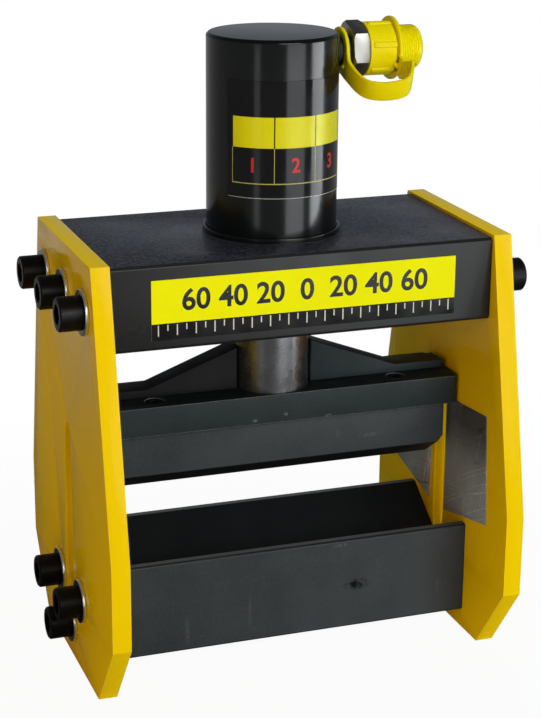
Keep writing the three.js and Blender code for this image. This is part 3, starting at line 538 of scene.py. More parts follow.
plain_finish("panel_yellow", (0.92, 0.95, 0.001), (0.87, 0.90, 0.001), 0.34, 0.02, 30.0)
plain_finish("band_yellow", (0.74, 0.72, 0.001), (0.69, 0.67, 0.001), 0.28, 0.16, 30.0)
plain_finish("panel_black", (0.004, 0.004, 0.005), (0.007, 0.007, 0.008), 0.13, 0.16, 30.0)
plain_finish("print_red", (0.62, 0.012, 0.012), (0.54, 0.010, 0.010), 0.3, 0.2, 40.0)
plain_finish("print_pale", (0.50, 0.48, 0.12), (0.44, 0.42, 0.10), 0.35, 0.2, 40.0)
plain_finish("print_white", (0.72, 0.73, 0.62), (0.66, 0.67, 0.55), 0.35, 0.2, 40.0)
plain_finish("cap_yellow", (0.95, 0.87, 0.001), (0.88, 0.76, 0.001), 0.36, 0.07, 45.0, 0.00002)
plain_finish("seal_rubber", (0.016, 0.016, 0.016), (0.026, 0.026, 0.025), 0.7, 0.3, 80.0, 0.00003)
print("finishes:", len(bpy.data.materials))

# %% [markdown]
# ## Tools for the pieces
#
# Flat steel parts take the CAD shape and get rounded edges from a Bevel modifier, because no real
# edge is a knife. Round parts are turned: a profile with a fillet at its corners is swept round an
# axis, like on a lathe. Springs and bands are lofted from ring to ring. Every finished piece is
# placed once: it wears the finish of its slot or its own look, rides on its body if it has one,
# and hides the nodes that it stands for. Sizes are in millimetres.
# %% Placing a finished piece
def evaluated(obj):
    """The object's shape after its modifiers, as a plain mesh."""
    graph = bpy.context.evaluated_depsgraph_get()
    return bpy.data.meshes.new_from_object(obj.evaluated_get(graph))


def finished(obj):
    """The object with that mesh as its own, and without its modifiers."""
    mesh = evaluated(obj)
    obj.modifiers.clear()
    obj.data = mesh
    return obj


def modify(obj, kind, **settings):
    """Gives the object a modifier and keeps what it makes."""
    modifier = obj.modifiers.new(kind, kind)
    for key, value in settings.items():
        setattr(modifier, key, value)
    return finished(obj)


def new_object(name, mesh):
    made = bpy.data.objects.new(name, mesh)
    bpy.context.collection.objects.link(made)
    return made


def mesh_of(shape, name):
    """Keeps an edited shape as a mesh and frees it."""
    mesh = bpy.data.meshes.new(name)
    shape.to_mesh(mesh)
    shape.free()
    return mesh


def merged(name, *parts):
    """One object from several, which are removed."""
    whole = bmesh.new()
    for part in parts:
        mesh = part.data
        whole.from_mesh(mesh)
        bpy.data.objects.remove(part)
        bpy.data.meshes.remove(mesh)
    return new_object(name, mesh_of(whole, name))


def settle(obj, body, slot, *replaced, look=None, angle=35):
    """Dresses a piece, smooths it up to an angle and lets it ride on its body.

    It wears the finish that is named like its slot, unless another look is named.
    """
    mesh = obj.data
    mesh.materials.clear()
    mesh.materials.append(finishes[look or slot])
    if angle is not None:
        mesh.shade_smooth()
        mesh.set_sharp_from_angle(angle=math.radians(angle))
    if body is not None:
        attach(obj, body)
    if replaced:
        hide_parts(*replaced)


# %% Rounding the edges of a CAD piece
merge_within, nearly_flat, sharp_from = 2e-6, math.radians(0.6), math.radians(32)


def soften(node, body, slot, width, segments=3, look=None):
    """A copy of a CAD piece with merged corners and rounded edges."""
    shape = bmesh.new()
    shape.from_mesh(nodes[node].data)
    bmesh.ops.remove_doubles(shape, verts=shape.verts, dist=merge_within)
    bmesh.ops.dissolve_limit(shape, angle_limit=nearly_flat, verts=shape.verts, edges=shape.edges)
    mesh = mesh_of(shape, node)
    mesh.shade_smooth()
    obj = new_object(node + "_piece", mesh)
    modify(
        obj, "BEVEL", width=width * MM, segments=segments, limit_method="ANGLE",
        angle_limit=sharp_from, harden_normals=True, miter_outer="MITER_ARC",
    )
    settle(obj, body, slot, node, look=look, angle=None)


# %% Turning a profile on a lathe
def filleted(profile):
    """Rounds the corners of a profile given as (radius, height) or (radius, height, fillet)."""
    steps = 4
    made = []
    for i, (r, h, *cut) in enumerate(profile):
        here = Vector((r, h))
        if not cut:
            made.append(here)
            continue
        before, after = Vector(profile[i - 1][:2]), Vector(profile[(i + 1) % len(profile)][:2])
        start = here + (before - here).normalized() * cut[0]
        end = here + (after - here).normalized() * cut[0]
        for k in range(steps + 1):
            t = k / steps
            made.append(start * (1 - t) ** 2 + here * 2 * t * (1 - t) + end * t * t)
    return made


def turned(name, profile, axis="z", centre=(0, 0, 0), steps=128):
    """A closed profile swept round an axis. Points on the axis become one pole."""
    shape = bmesh.new()
    rings = []
    for r, h in filleted(profile):
        ring = []
        for k in range(1 if r < 1e-6 else steps):
            a = 2 * math.pi * k / steps
            x, y = r * math.cos(a), r * math.sin(a)
            point = Vector((h, x, y) if axis == "x" else (x, y, h))
            ring.append(shape.verts.new((point + Vector(centre)) * MM))
        rings.append(ring)
    for a, b in zip(rings, rings[1:] + rings[:1]):
        if len(a) == 1 and len(b) == 1:
            continue
        for k in range(steps):
            n = (k + 1) % steps
            corners = [a[k % len(a)], a[n % len(a)], b[n % len(b)], b[k % len(b)]]
            shape.faces.new(list(dict.fromkeys(corners)))
    bmesh.ops.recalc_face_normals(shape, faces=shape.faces)
    return new_object(name, mesh_of(shape, name))


def turn_piece(name, profile, body, slot, node, axis="z", centre=(0, 0, 0), steps=96, look=None):
    settle(turned(name, profile, axis, centre, steps), body, slot, node, look=look)


def ball_profile(radius, middle, steps):
    """Half a circle that turns into a ball, with its ends right on the axis."""
    angles = [math.pi * k / steps for k in range(1, steps)]
    half_circle = [(radius * math.sin(a), middle - radius * math.cos(a)) for a in angles]
    return [(0, middle - radius), *half_circle, (0, middle + radius)]


# %% Lofting from ring to ring
def lofted(name, rings):
    """A closed solid through rings of points, each ring joined to the next one."""
    shape = bmesh.new()
    loops = [[shape.verts.new(Vector(point) * MM) for point in ring] for ring in rings]
    count = len(loops[0])
    for a, b in zip(loops, loops[1:]):
        for k in range(count):
            n = (k + 1) % count
            shape.faces.new((a[k], a[n], b[n], b[k]))
    shape.faces.new(loops[0])
    shape.faces.new(loops[-1])
    bmesh.ops.recalc_face_normals(shape, faces=shape.faces)
    return new_object(name, mesh_of(shape, name))


# %% [markdown]
# ## Plates and blocks
#
# The two side plates are flame-cut steel under gloss paint, with their edges just broken. The beam
# and the die are solid blocks. The carrier under the ram has two sloping ribs, and the punch hangs
# below it. All of them keep their CAD shape and only get rounded edges, wider on the plates than
# on the tools.
# %% Side plates, beam and die
soften("left_side_plate", "frame", "yellow_paint", 0.9)
soften("right_side_plate", "frame", "yellow_paint", 0.9)
soften("top_beam", "frame", "black_paint", 0.5)
soften("lower_die", "frame", "dark_steel", 0.6)

# %% Carrier, ribs, punch and gauge plates
# The carrier and its ribs wear shaded copies of the steel: painted shade.
soften("carrier_bar", "ram_unit", "dark_steel", 0.6, look="carrier_steel")
soften("carrier_rib_left", "ram_unit", "dark_steel", 0.8, look="deep_steel")
soften("carrier_rib_right", "ram_unit", "dark_steel", 0.8, look="carrier_steel")
soften("upper_punch", "ram_unit", "dark_steel", 0.5)
soften("gauge_plate_front", "frame", "gauge_black", 0.12, 2)
soften("gauge_plate_rear", "frame", "gauge_black", 0.12, 2)

# %% [markdown]
# ## Cylinder
#
# The barrel is a thick tube with a closed crown, turned from bar and painted gloss black. It is
# turned here with its inside, because the ram and the spring work in it, and the oil port is
# drilled afterwards. Its small fillets catch the thin bright line round the top.
# %% Barrel and lock ring
axis_height = 329.3
centre = (0, 0, axis_height)

barrel = turned("barrel", [
    (0, 331.5), (28, 331.5, 0.8), (28, 204), (32, 204, 0.5), (32, 235), (35, 235), (35, 339.1, 0.5),
    (33.6, 340.5, 0.5), (0, 340.5),
])
drill = turned("drill", [
    (0, 27), (3, 27), (3, 30), (7.3, 30), (7.3, 38), (0, 38),
], "x", centre, 48)
modify(barrel, "BOOLEAN", object=drill, solver="EXACT")
bpy.data.objects.remove(drill)
settle(barrel, "frame", "black_gloss", "cylinder_barrel")

turn_piece("lock_ring", [
    (35.3, 235), (36.9, 235), (36.9, 238, 0.7), (35.3, 238, 0.3),
], "frame", "black_paint", "barrel_lock_ring", steps=128, look="black_gloss")

# %% Ram, piston and what guides them
turn_piece("ram_rod", [
    (0, 288.2), (5.3, 288.2), (5.3, 302.5), (21, 302.5, 0.4), (21, 148), (5.3, 148), (5.3, 170.3), (0, 170.3),
], "ram_unit", "ram_steel", "ram")
turn_piece("piston_body", [
    (5.3, 302.5), (27.7, 302.5, 0.4), (27.7, 305.5), (23.7, 305.5), (23.7, 310.5), (27.7, 310.5),
    (27.7, 317.5), (23.7, 317.5), (23.7, 322.5), (27.7, 322.5), (27.7, 326.5, 0.6), (8.3, 326.5),
    (8.3, 316.2), (5.3, 316.2),
], "ram_unit", "ram_steel", "piston")
turn_piece("piston_lip_seal", [
    (24, 317.8, 0.4), (27.9, 317.8, 1.2), (27.9, 322.2, 0.3), (26.4, 322.2), (26, 320.4), (25.6, 322.2),
    (24, 322.2, 0.3),
], "ram_unit", "seal_rubber", "piston_seal")
turn_piece("piston_guide", [
    (24, 305.8, 0.2), (27.9, 305.8, 0.4), (27.9, 310.2, 0.4), (24, 310.2, 0.2),
], "ram_unit", "bronze", "piston_guide_ring")
turn_piece("bush", [
    (21.1, 194.8, 0.5), (25, 194.8, 0.4), (25, 203.7), (27, 203.7), (27, 206.7, 0.4), (21.1, 206.7, 0.6),
], "frame", "bronze", "ram_bush")
turn_piece("wiper_ring", [
    (21.1, 190.5, 0.2), (22.6, 190.5), (23.2, 192), (25, 192, 0.3), (25, 194.5, 0.3), (21.6, 194.5, 0.3),
], "frame", "seal_rubber", "ram_wiper")

# %% [markdown]
# ## Springs
#
# A spring is one round wire on a helix. A ring of points is carried along the helix, and each ring
# is joined to the next.
# %% Return spring and valve spring
def coil(name, axis, mean_radius, wire, low, high, turns):
    """A helix of round wire between two seats, along z or along the coupler's axis."""
    around, per_turn = 12, 40
    steps = turns * per_turn
    start, end = low + wire / 2, high - wire / 2
    rings = []
    for i in range(steps + 1):
        a = 2 * math.pi * i / per_turn
        ring = []
        for k in range(around):
            b = 2 * math.pi * k / around
            r = mean_radius + wire / 2 * math.cos(b)
            h = start + (end - start) * i / steps + wire / 2 * math.sin(b)
            x, y = r * math.cos(a), r * math.sin(a)
            ring.append((x, y, h) if axis == "z" else (h, x, y + axis_height))
        rings.append(ring)
    return lofted(name, rings)


big_coil = coil("big_coil", "z", 25.2, 3.6, 207.0, 302.2, 7)
settle(big_coil, "frame", "spring_steel", "return_spring", angle=60)
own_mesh(big_coil)

small_coil = coil("small_coil", "x", 3.55, 0.9, 47.6, 54.35, 3)
settle(small_coil, "frame", "spring_steel", "valve_spring", angle=60)
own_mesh(small_coil)
print("coil triangles:", 2 * len(big_coil.data.polygons))

# %% [markdown]
# ## Screws and washers
#
# The machine has many equal screws, so one Geometry Nodes tree makes them all. It builds a single
# screw from its sizes: a head with a knurled rim, a bevelled top and a hexagon socket, and a shank.
# Then it stands that screw on every point that it is given, facing the way the point says.
# %% A screw tree
def real_mesh(tree, instances):
    """Ends a tree: the instances become one real mesh with the finish that the tree is given."""
    real = tree.geo("RealizeInstances", {0: instances})
    tree.give(tree.geo("SetMaterial", {"Geometry": real, "Material": tree.put["Finish"]}))


def on_every_seat(tree, instance):
    """Stands an instance on each seat, along its facing and with its own turn, and ends the tree."""
    facing = tree.node("GeometryNodeInputNamedAttribute", {"Name": "facing"}, data_type="FLOAT_VECTOR")
    along = tree.out("FunctionNodeAlignRotationToVector", {"Vector": facing.outputs["Attribute"]}, axis="Z")
    seats = {"Points": tree.put["Seats"], "Instance": instance, "Rotation": along}
    stood = tree.geo("InstanceOnPoints", seats)
    full_turn = {2: 0.0, 3: 6.28, "Seed": tree.put["Seed"]}
    spin = tree.node("FunctionNodeRandomValue", full_turn, data_type="FLOAT").outputs[1]
    own_turn = {"Instances": stood, "Rotation": tree.xyz(Z=spin), "Local Space": True}
    real_mesh(tree, tree.geo("RotateInstances", own_turn))


def solid_rod(tree, vertices, radius, depth, middle):
    """A closed cylinder along z whose middle is at a height."""
    sizes = {"Vertices": vertices, "Radius": radius, "Depth": depth}
    rod = tree.geo("MeshCylinder", sizes, fill_type="NGON")
    return tree.geo("Transform", {"Geometry": rod, "Translation": tree.xyz(Z=middle)})


def boolean(tree, operation, **meshes):
    inputs = {key.replace("_", " "): mesh for key, mesh in meshes.items()}
    return tree.geo("MeshBoolean", inputs, operation=operation, solver="EXACT")


tree = screw_tree = Group("socket_screw", {
    "Seats": "Geometry", "Head": 0.018, "Head Height": 0.012, "Shank": 0.012, "Length": 0.03, "Key": 0.01,
    "Key Depth": 0.006, "Bevel": 0.0008, "Ridges": 48, "Ridge Share": 0.012, "Seed": 7, "Finish": "Material",
}, ("Screws", "Geometry"), "GeometryNodeTree")
put = tree.put
height = put["Head Height"]
head_radius = tree.times(put["Head"], 0.5)
plain_head = solid_rod(tree, tree.times(put["Ridges"], 2.0), head_radius, height, tree.times(height, 0.5))
every_other = tree.math("MODULO", tree.geo("InputIndex"), 2.0)
inwards = tree.minus(1.0, tree.times(every_other, put["Ridge Share"]))
moved = tree.vector("MULTIPLY", tree.geo("InputPosition"), tree.xyz(X=inwards, Y=inwards, Z=1.0))
knurled = tree.geo("SetPosition", {"Geometry": plain_head, "Position": moved})
top_radius = tree.minus(head_radius, put["Bevel"])
foot_radius = tree.math("ADD", top_radius, height)
cone = tree.geo("MeshCone", {
    "Vertices": 72, "Radius Top": top_radius, "Radius Bottom": foot_radius, "Depth": height,
}, fill_type="NGON")
bevelled = boolean(tree, "INTERSECT", Mesh_2=[knurled, cone])
key_radius = tree.times(put["Key"], 1 / math.sqrt(3))
key = solid_rod(tree, 6, key_radius, tree.times(put["Key Depth"], 2.0), height)
socketed = boolean(tree, "DIFFERENCE", Mesh_1=bevelled, Mesh_2=key)
overlap = 0.0004
shank_middle = tree.math("ADD", tree.times(put["Length"], -0.5), overlap / 2)
shank_length = tree.math("ADD", put["Length"], overlap)
shank = solid_rod(tree, 32, tree.times(put["Shank"], 0.5), shank_length, shank_middle)
on_every_seat(tree, boolean(tree, "UNION", Mesh_2=[socketed, shank]))
print("screw tree:", len(screw_tree.tree.nodes), "nodes")

# %% Setting the screws
def grown(name, group, look, values=None, places=((0, 0, 0),), facings=((0, 0, 1),)):
    """Runs a Geometry Nodes tree on loose points and keeps the result as a plain mesh."""
    mesh = bpy.data.meshes.new(name)
    mesh.from_pydata([Vector(p) * MM for p in places], [], [])
    layer = mesh.attributes.new("facing", "FLOAT_VECTOR", "POINT")
    for i, facing in enumerate(facings):
        layer.data[i].vector = facing
    obj = new_object(name, mesh)
    grow = obj.modifiers.new("grow", "NODES")
    grow.node_group = group.tree
    values = {"Finish": finishes[look], **(values or {})}
    for socket in group.tree.interface.items_tree:
        if socket.item_type == "SOCKET" and socket.in_out == "INPUT" and socket.name in values:
            grow[socket.identifier] = values[socket.name]
    return finished(obj)


beam_places = [(y, 209.8) for y in (-42.5, 0, 42.5)]
die_places = [(-22.8, 42.2), (22.8, 42.2), (0, 20.8)]
washer_seat, head_seat = 115, 117
ends = [(side, y, z) for side in (-1, 1) for y, z in beam_places + die_places]
frame_facings = [(side, 0, 0) for side, y, z in ends]
rows = [(row, side, i) for side in ("left", "right") for row in ("beam", "die") for i in (1, 2, 3)]
head_places = [(side * head_seat, y, z) for side, y, z in ends]
frame_heads = [f"{row}_screw_{side}_{i}" for row, side, i in rows]
punch_places = [(x, y, 141.7) for x in (-70, 70) for y in (-12.4, 12.4)]
punch_heads = [f"punch_screw_{i}" for i in (1, 2, 3, 4)]
small_size = {"Head": 0.010, "Head Height": 0.006, "Shank": 0.006, "Length": 0.025, "Key": 0.005,
              "Key Depth": 0.003, "Bevel": 0.0005, "Ridges": 28}
middle_size = {"Head": 0.016, "Head Height": 0.010, "Shank": 0.010, "Length": 0.026, "Key": 0.008,
               "Key Depth": 0.005, "Bevel": 0.0006, "Ridges": 36}
up_and_down = [(0, 0, 1), (0, 0, -1)]
for name, body, size, places, facings, replaced in (
    ("frame_screws", "frame", {"Seed": 3}, head_places, frame_facings, frame_heads),
    ("punch_screws", "ram_unit", small_size, punch_places, [(0, 0, 1)] * 4, punch_heads),
    ("ram_screws", "ram_unit", middle_size, [(0, 0, 316.2), (0, 0, 142.3)], up_and_down,
     ["piston_screw", "carrier_screw"]),
):
    screws = grown(name, screw_tree, "screw_black", size, places, facings)
    settle(screws, body, "screw_black", *replaced, angle=28)
    print(name, "triangles:", sum(len(p.vertices) - 2 for p in screws.data.polygons))

# %% [markdown]
# A washer is a stamped ring with softly rounded edges. A rectangle with filleted corners is swept
# round a circle with Curve to Mesh, and the ring is then stood on the same points as the screws.
# %% The washer tree
tree = washer_tree = Group("stamped_washer", {
    "Seats": "Geometry", "Outer": 0.024, "Inner": 0.0126, "Thickness": 0.002, "Rounding": 0.0005, "Seed": 1,
    "Finish": "Material",
}, ("Washers", "Geometry"), "GeometryNodeTree")
put = tree.put
across = tree.times(tree.minus(put["Outer"], put["Inner"]), 0.5)
middle = tree.times(tree.math("ADD", put["Outer"], put["Inner"]), 0.25)
circle = tree.geo("CurvePrimitiveCircle", {"Resolution": 72, "Radius": middle})
section = tree.geo("CurvePrimitiveQuadrilateral", {"Width": across, "Height": put["Thickness"]})
corners = {"Curve": section, "Count": 3, "Radius": put["Rounding"]}
soft = tree.geo("FilletCurve", corners, mode="POLY")
ring = tree.geo("CurveToMesh", {"Curve": circle, "Profile Curve": soft})
lift = tree.xyz(Z=tree.times(put["Thickness"], 0.5))
on_every_seat(tree, tree.geo("Transform", {"Geometry": ring, "Translation": lift}))

washer_places = [(side * washer_seat, y, z) for side, y, z in ends]
washers = grown("washers", washer_tree, "washer_steel", None, washer_places, frame_facings)
settle(washers, "frame", "washer_steel", *(f"{row}_washer_{side}_{i}" for row, side, i in rows), angle=50)
print("washers from x", round(min(v.co.x for v in washers.data.vertices), 4))

# %% [markdown]
# ## Printed panels
#
# A yellow film on the beam's front carries a plain ruler, which helps to centre a bar: numbers in
# twenties from the middle, and white ticks on a black strip. A black film goes round the barrel,
# with a yellow band over three numbered fields. All printing is thin geometry, a few hundredths of
# a millimetre proud. What belongs on the barrel is drawn flat, cut into narrow strips and rolled.
# %% Flat strips and numbers
proud = 0.03


def slab(low, high):
    """A plain box from its lowest to its highest corner."""
    shape = bmesh.new()
    bmesh.ops.create_cube(shape, size=1)
    for v in shape.verts:
        v.co = Vector(h if c > 0 else l for c, l, h in zip(v.co, low, high)) * MM
    return shape


def number_shape(text, size, x, y, z, width=1.0):
    """A number as a thin solid in the xz plane, centred on a point."""
    curve = bpy.data.curves.new("number", "FONT")
    curve.body = text
    curve.size = size * MM
    curve.extrude = proud * MM / 2
    curve.offset = 0.022 * size * MM
    curve.align_x, curve.align_y = "CENTER", "CENTER"
    curve.resolution_u = 5
    holder = new_object("number", curve)
    flat = evaluated(holder)
    bpy.data.objects.remove(holder)
    shape = bmesh.new()
    shape.from_mesh(flat)
    bpy.data.meshes.remove(flat)
    bmesh.ops.remove_doubles(shape, verts=shape.verts, dist=1e-7)
    stood = Matrix.Rotation(math.pi / 2, 4, "X") @ Matrix.Diagonal((width, 1, 1, 1))
    shape.transform(Matrix.Translation(Vector((x, y, z)) * MM) @ stood)
    return shape


def roll_up(shape, radius):
    """Cuts a flat shape into narrow strips and lays it round the z axis, front first."""
    strip_width = 0.0012
    reach = [v.co.x for v in shape.verts]
    low, length = min(reach), max(reach) - min(reach)
    cuts = int(length / strip_width)
    for k in range(1, cuts + 1):
        geometry = shape.verts[:] + shape.edges[:] + shape.faces[:]
        cut_at = (low + length * k / (cuts + 1), 0, 0)
        bmesh.ops.bisect_plane(shape, geom=geometry, plane_co=cut_at, plane_no=(1, 0, 0))
    for v in shape.verts:
        a, r = v.co.x / (radius * MM), radius * MM - v.co.y
        v.co = Vector((r * math.sin(a), -r * math.cos(a), v.co.z))


def joined(name, shapes):
    """Several shapes as one object."""
    return merged(name, *(new_object("part", mesh_of(shape, "part")) for shape in shapes))


# %% The ruler on the beam
beam_front, front = -56, -56.4
film_end, film_foot, film_top, strip_top = 83.5, 195.5, 227, 204.3
film = slab((-film_end, front, film_foot), (film_end, beam_front, film_top))
strip = slab((-film_end, front - proud, film_foot), (film_end, front, strip_top))
digits = [number_shape(str(abs(20 * k)), 15.5, 20 * k, front - proud / 2, 215.4) for k in range(-3, 4)]
settle(joined("beam_film", [film]), "frame", "panel_yellow", "beam_panel", angle=None)
settle(joined("ruler_strip", [strip]), "frame", "panel_black", angle=None)
settle(joined("ruler_numbers", digits), "frame", "panel_black", angle=None)

tree = tick_tree = Group("ruler_ticks", {
    "Seats": "Geometry", "Ticks": 33, "Spacing": 0.005, "Width": 0.0006, "Height": 0.0058,
    "Short Share": 0.55, "Depth": 0.00006, "Finish": "Material",
}, ("Marks", "Geometry"), "GeometryNodeTree")
put = tree.put
half_way = tree.times(tree.minus(put["Ticks"], 1.0), -0.5)
first = tree.xyz(X=tree.times(half_way, put["Spacing"]))
line = {"Count": put["Ticks"], "Start Location": first, "Offset": tree.xyz(X=put["Spacing"])}
row = tree.geo("MeshLine", line)
odd = tree.math("MODULO", tree.geo("InputIndex"), 2.0)
less = tree.times(odd, tree.minus(1.0, put["Short Share"]))
tall = tree.times(put["Height"], tree.minus(1.0, less))
cube = tree.geo("MeshCube", {"Size": (1, 1, 1)})
hung = tree.geo("Transform", {"Geometry": cube, "Translation": (0, 0, -0.5)})
size = tree.xyz(X=put["Width"], Y=put["Depth"], Z=tall)
real_mesh(tree, tree.geo("InstanceOnPoints", {"Points": row, "Instance": hung, "Scale": size}))

ticks = grown("ruler_marks", tick_tree, "print_white")
ticks.data.transform(Matrix.Translation(Vector((0, front - proud, 203.6)) * MM))
settle(ticks, "frame", "panel_yellow", look="print_white", angle=None)
print("ruler marks:", len(ticks.data.polygons) // 6)

# %% The film round the barrel
barrel_film_radius = 35.5


def rolled(name, shapes, slot, *replaced, look=None):
    for shape in shapes:
        roll_up(shape, barrel_film_radius)
    settle(joined(name, shapes), "frame", slot, *replaced, look=look, angle=40)


def arc(degrees):
    """How far round the barrel an angle from the front lies, in millimetres."""
    return math.radians(degrees) * barrel_film_radius


def printed(left, right, bottom, top):
    return slab((arc(left), -proud, bottom), (arc(right), 0, top))


film_reach = 59.5
film = slab((arc(-film_reach), 0, 259), (arc(film_reach), 0.4, 320))
rolled("barrel_film", [film], "panel_black", "barrel_panel")
columns = [-54.4, -17.3, 19.8, 57.0]
fields = list(zip(columns, columns[1:]))
gap = 0.55
band = [printed(a + gap, b - gap, 285.4, 301.4) for a, b in fields]
rolled("barrel_band", band, "panel_yellow", look="band_yellow")
rules = [printed(c - gap / 2, c + gap / 2, 266.8, 285.4) for c in columns]
rules.append(printed(columns[0], columns[-1], 266.5, 267.0))
rolled("barrel_rules", rules, "panel_yellow", look="print_pale")
edge = printed(-film_reach, film_reach, 259.0, 259.2)
rolled("barrel_film_edge", [edge], "panel_yellow", look="print_white")
numbers = [
    number_shape(str(i + 1), 10.7, arc((a + b) / 2), -proud / 2, 276.0, width=0.9)
    for i, (a, b) in enumerate(fields)
]
rolled("barrel_numbers", numbers, "panel_yellow", look="print_red")
print("barrel film fields:", len(fields))

# %% [markdown]
# ## Oil coupler, dust cap and strap
#
# The hose is pushed on a coupler at the barrel's side. A yellow plastic cap keeps the dirt out: a
# ribbed sleeve over the plug, a neck and a ridged stub. Its strap has an eyelet round the nipple, a
# ring in the cap's neck, and a flat band between them that hangs in a loop and twists on the way.
# %% Nipple, body and valve
turn_piece("nipple", [
    (3, 30.3), (7, 30.3, 0.4), (7, 35.3), (8, 35.3, 0.3), (8, 41), (7, 41), (7, 46, 0.4), (3, 46),
], "frame", "dark_steel", "coupler_nipple", "x", centre, 64)
soften("coupler_body", "frame", "coupler_steel", 0.35, 2)
ball = ball_profile(4.8, 58.425, 32)
turn_piece("ball", ball, "check_ball", "ram_steel", "valve_ball", "x", centre, 48)

# %% Dust cap with its ribs
cap_profile = [(0, 64.0), (12.3, 64.0, 0.4), (12.3, 50.1, 0.3), (14.25, 50.1, 0.6), (14.25, 65.2, 0.7),
               (10.7, 65.2, 0.3), (10.7, 68.0, 0.3), (11.9, 68.0, 0.3), (11.9, 70.2, 0.2)]
ridges, ridges_start, ridges_length = 8, 70.2, 8.6
pitch_length = ridges_length / ridges
for i in range(ridges):
    foot = ridges_start + i * pitch_length
    cap_profile += [(11.35, foot + 0.15 * pitch_length, 0.1), (11.95, foot + 0.6 * pitch_length, 0.2)]
dome_radius, dome_height, dome_steps = 11.7, 4.4, 12
for k in range(dome_steps + 1):
    a = math.pi / 2 * k / dome_steps
    cap_profile.append((dome_radius * math.cos(a) if k < dome_steps else 0, 79.2 + dome_height * math.sin(a)))
cap = turned("cap_sleeve", cap_profile, "x", centre, 96)

tree = rib_tree = Group("cap_ribs", {
    "Seats": "Geometry", "Ribs": 6, "Radius": 0.0142, "Length": 0.0134, "Width": 0.0032, "Height": 0.0016,
    "Finish": "Material",
}, ("Ribs", "Geometry"), "GeometryNodeTree")
put = tree.put
stations = tree.geo("MeshCircle", {"Vertices": put["Ribs"], "Radius": put["Radius"]})
outwards = {"Vector": tree.geo("InputPosition")}
aligned = tree.out("FunctionNodeAlignRotationToVector", outwards, axis="X")
bar = tree.geo("MeshCube", {"Size": tree.xyz(X=put["Height"], Y=put["Width"], Z=put["Length"])})
set_out = {"Points": stations, "Instance": bar, "Rotation": aligned}
real_mesh(tree, tree.geo("InstanceOnPoints", set_out))

ribs = modify(grown("cap_ribs", rib_tree, "cap_yellow"), "BEVEL", width=0.7 * MM, segments=3)
ribs_middle, ribs_turn = (58.5, 0, axis_height), math.radians(15)
laid = Matrix.Rotation(math.pi / 2, 4, "Y") @ Matrix.Rotation(ribs_turn, 4, "Z")
ribs.data.transform(Matrix.Translation(Vector(ribs_middle) * MM) @ laid)
settle(merged("cap_with_ribs", cap, ribs), "cap", "cap_yellow", "dust_cap", angle=40)

# %% The strap's flat band
def spline_point(points, t):
    """A point and a direction on a Catmull-Rom curve through the points, for t from 0 to 1."""
    last = len(points) - 1
    i = min(int(t * last), last - 1)
    u = t * last - i
    p = [points[max(0, min(last, i + k))] for k in (-1, 0, 1, 2)]
    a = 2 * p[1] - 2 * p[2] + (p[2] - p[0]) / 2 + (p[3] - p[1]) / 2
    b = 3 * (p[2] - p[1]) - (p[2] - p[0]) - (p[3] - p[1]) / 2
    c = (p[2] - p[0]) / 2
    return ((a * u + b) * u + c) * u + p[1], (3 * a * u + 2 * b) * u + c


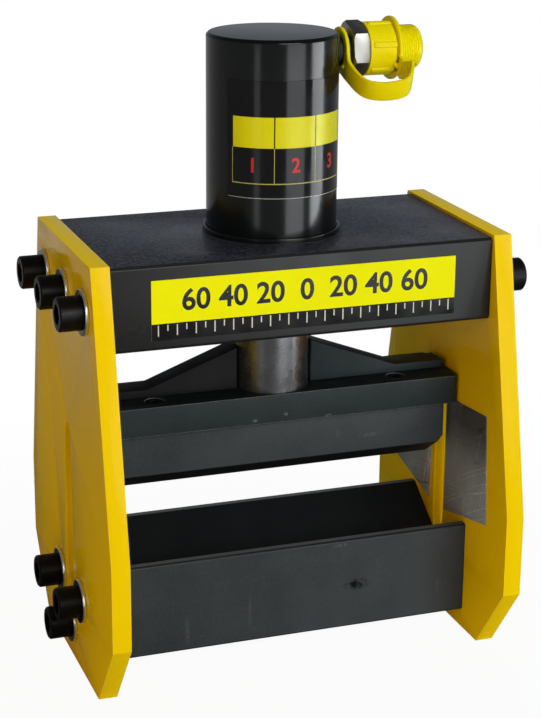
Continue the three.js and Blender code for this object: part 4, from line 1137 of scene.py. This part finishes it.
def flat_band(name, points, tilts, half_width, thickness, steps):
    """A flat band with rounded edges. points are (x, distance from the axis), tilts are in degrees."""
    corner = thickness * 0.42
    rings = []
    for i in range(steps + 1):
        t = i / steps
        middle, along = spline_point(points, t)
        along = along.normalized()
        before = min(int(t * (len(tilts) - 1)), len(tilts) - 2)
        share = t * (len(tilts) - 1) - before
        tilt = math.radians(tilts[before] + (tilts[before + 1] - tilts[before]) * share)
        down = Vector((0, -math.sin(tilt), -math.cos(tilt)))
        across = Vector((0, math.cos(tilt), -math.sin(tilt)))
        through = Vector((along.y, 0, 0)) - along.x * down
        wide = half_width(t)
        ring = []
        for u, v, start in ((1, 1, 0), (-1, 1, 90), (-1, -1, 180), (1, -1, 270)):
            for k in range(4):
                a = math.radians(start + 30 * k)
                x = u * (wide - corner) + corner * math.cos(a)
                y = v * (thickness / 2 - corner) + corner * math.sin(a)
                on_axis = Vector((middle.x, 0, axis_height))
                ring.append(on_axis + middle.y * down + x * across + y * through)
        rings.append(ring)
    return lofted(name, rings)


def flare(t):
    """Half the band's width, which grows where the band comes out of the eyelet."""
    near = max(0.0, 1 - t / 0.2)
    return band_half_width + 2.6 * near * near


def knob(name, x, distance, elevation, radius):
    """A small round knob beside the coupler's axis, on the front side."""
    a = math.radians(elevation)
    middle = (0, -distance * math.cos(a), axis_height + distance * math.sin(a))
    return turned(name, ball_profile(radius, x, 8), "x", middle, 24)


# %% Strap and ring
band_half_width = 5.75
eyelet_x, ring_x, reach = 38.0, 66.6, 41.0
shares = [(0, 0.23), (0, 0.41), (0.14, 0.78), (0.485, 0.97), (0.8, 1), (0.98, 0.78), (1.03, 0.62)]
route = [Vector((eyelet_x + x * (ring_x - eyelet_x), r * reach)) for x, r in shares]
route.append(Vector((ring_x, 20.25)))
band = flat_band("band", route, (47, 53, 59, 65, 70, 76, 70, 62), flare, 2.0, 120)
eyelet = turned("eyelet", [
    (8.3, 37, 0.5), (12.2, 37, 0.7), (12.2, 39, 0.7), (8.3, 39, 0.5),
], "x", centre, 64)
strap = merged("strap", band, eyelet, knob("nub", 37.0, 11.3, -43, 1.3))
settle(strap, None, "cap_yellow", "cap_strap", angle=50)
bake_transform(strap)

hoop = turned("hoop", [
    (11, 65.5, 0.5), (16.8, 65.5, 0.8), (16.8, 67.7, 0.8), (11, 67.7, 0.5),
], "x", centre, 96)
tab_route = [Vector((ring_x, 14.1)), Vector((ring_x, 20.2))]
tab = flat_band("tab", tab_route, (62, 62), lambda t: band_half_width, 2.2, 6)
strap_hoop = merged("strap_hoop", hoop, tab, knob("pip", 65.3, 15.2, -30, 1.7))
settle(strap_hoop, "cap_ring", "cap_yellow", "strap_ring", angle=50)
print("strap triangles:", sum(len(p.vertices) - 2 for p in strap.data.polygons))

# %% [markdown]
# ## Finish
#
# Every CAD node should be replaced by now, so the last cell lists any that still show.
# %% The last check
plain = [n for n, o in nodes.items() if not o.hide_render]
print("CAD nodes still shown:", plain)
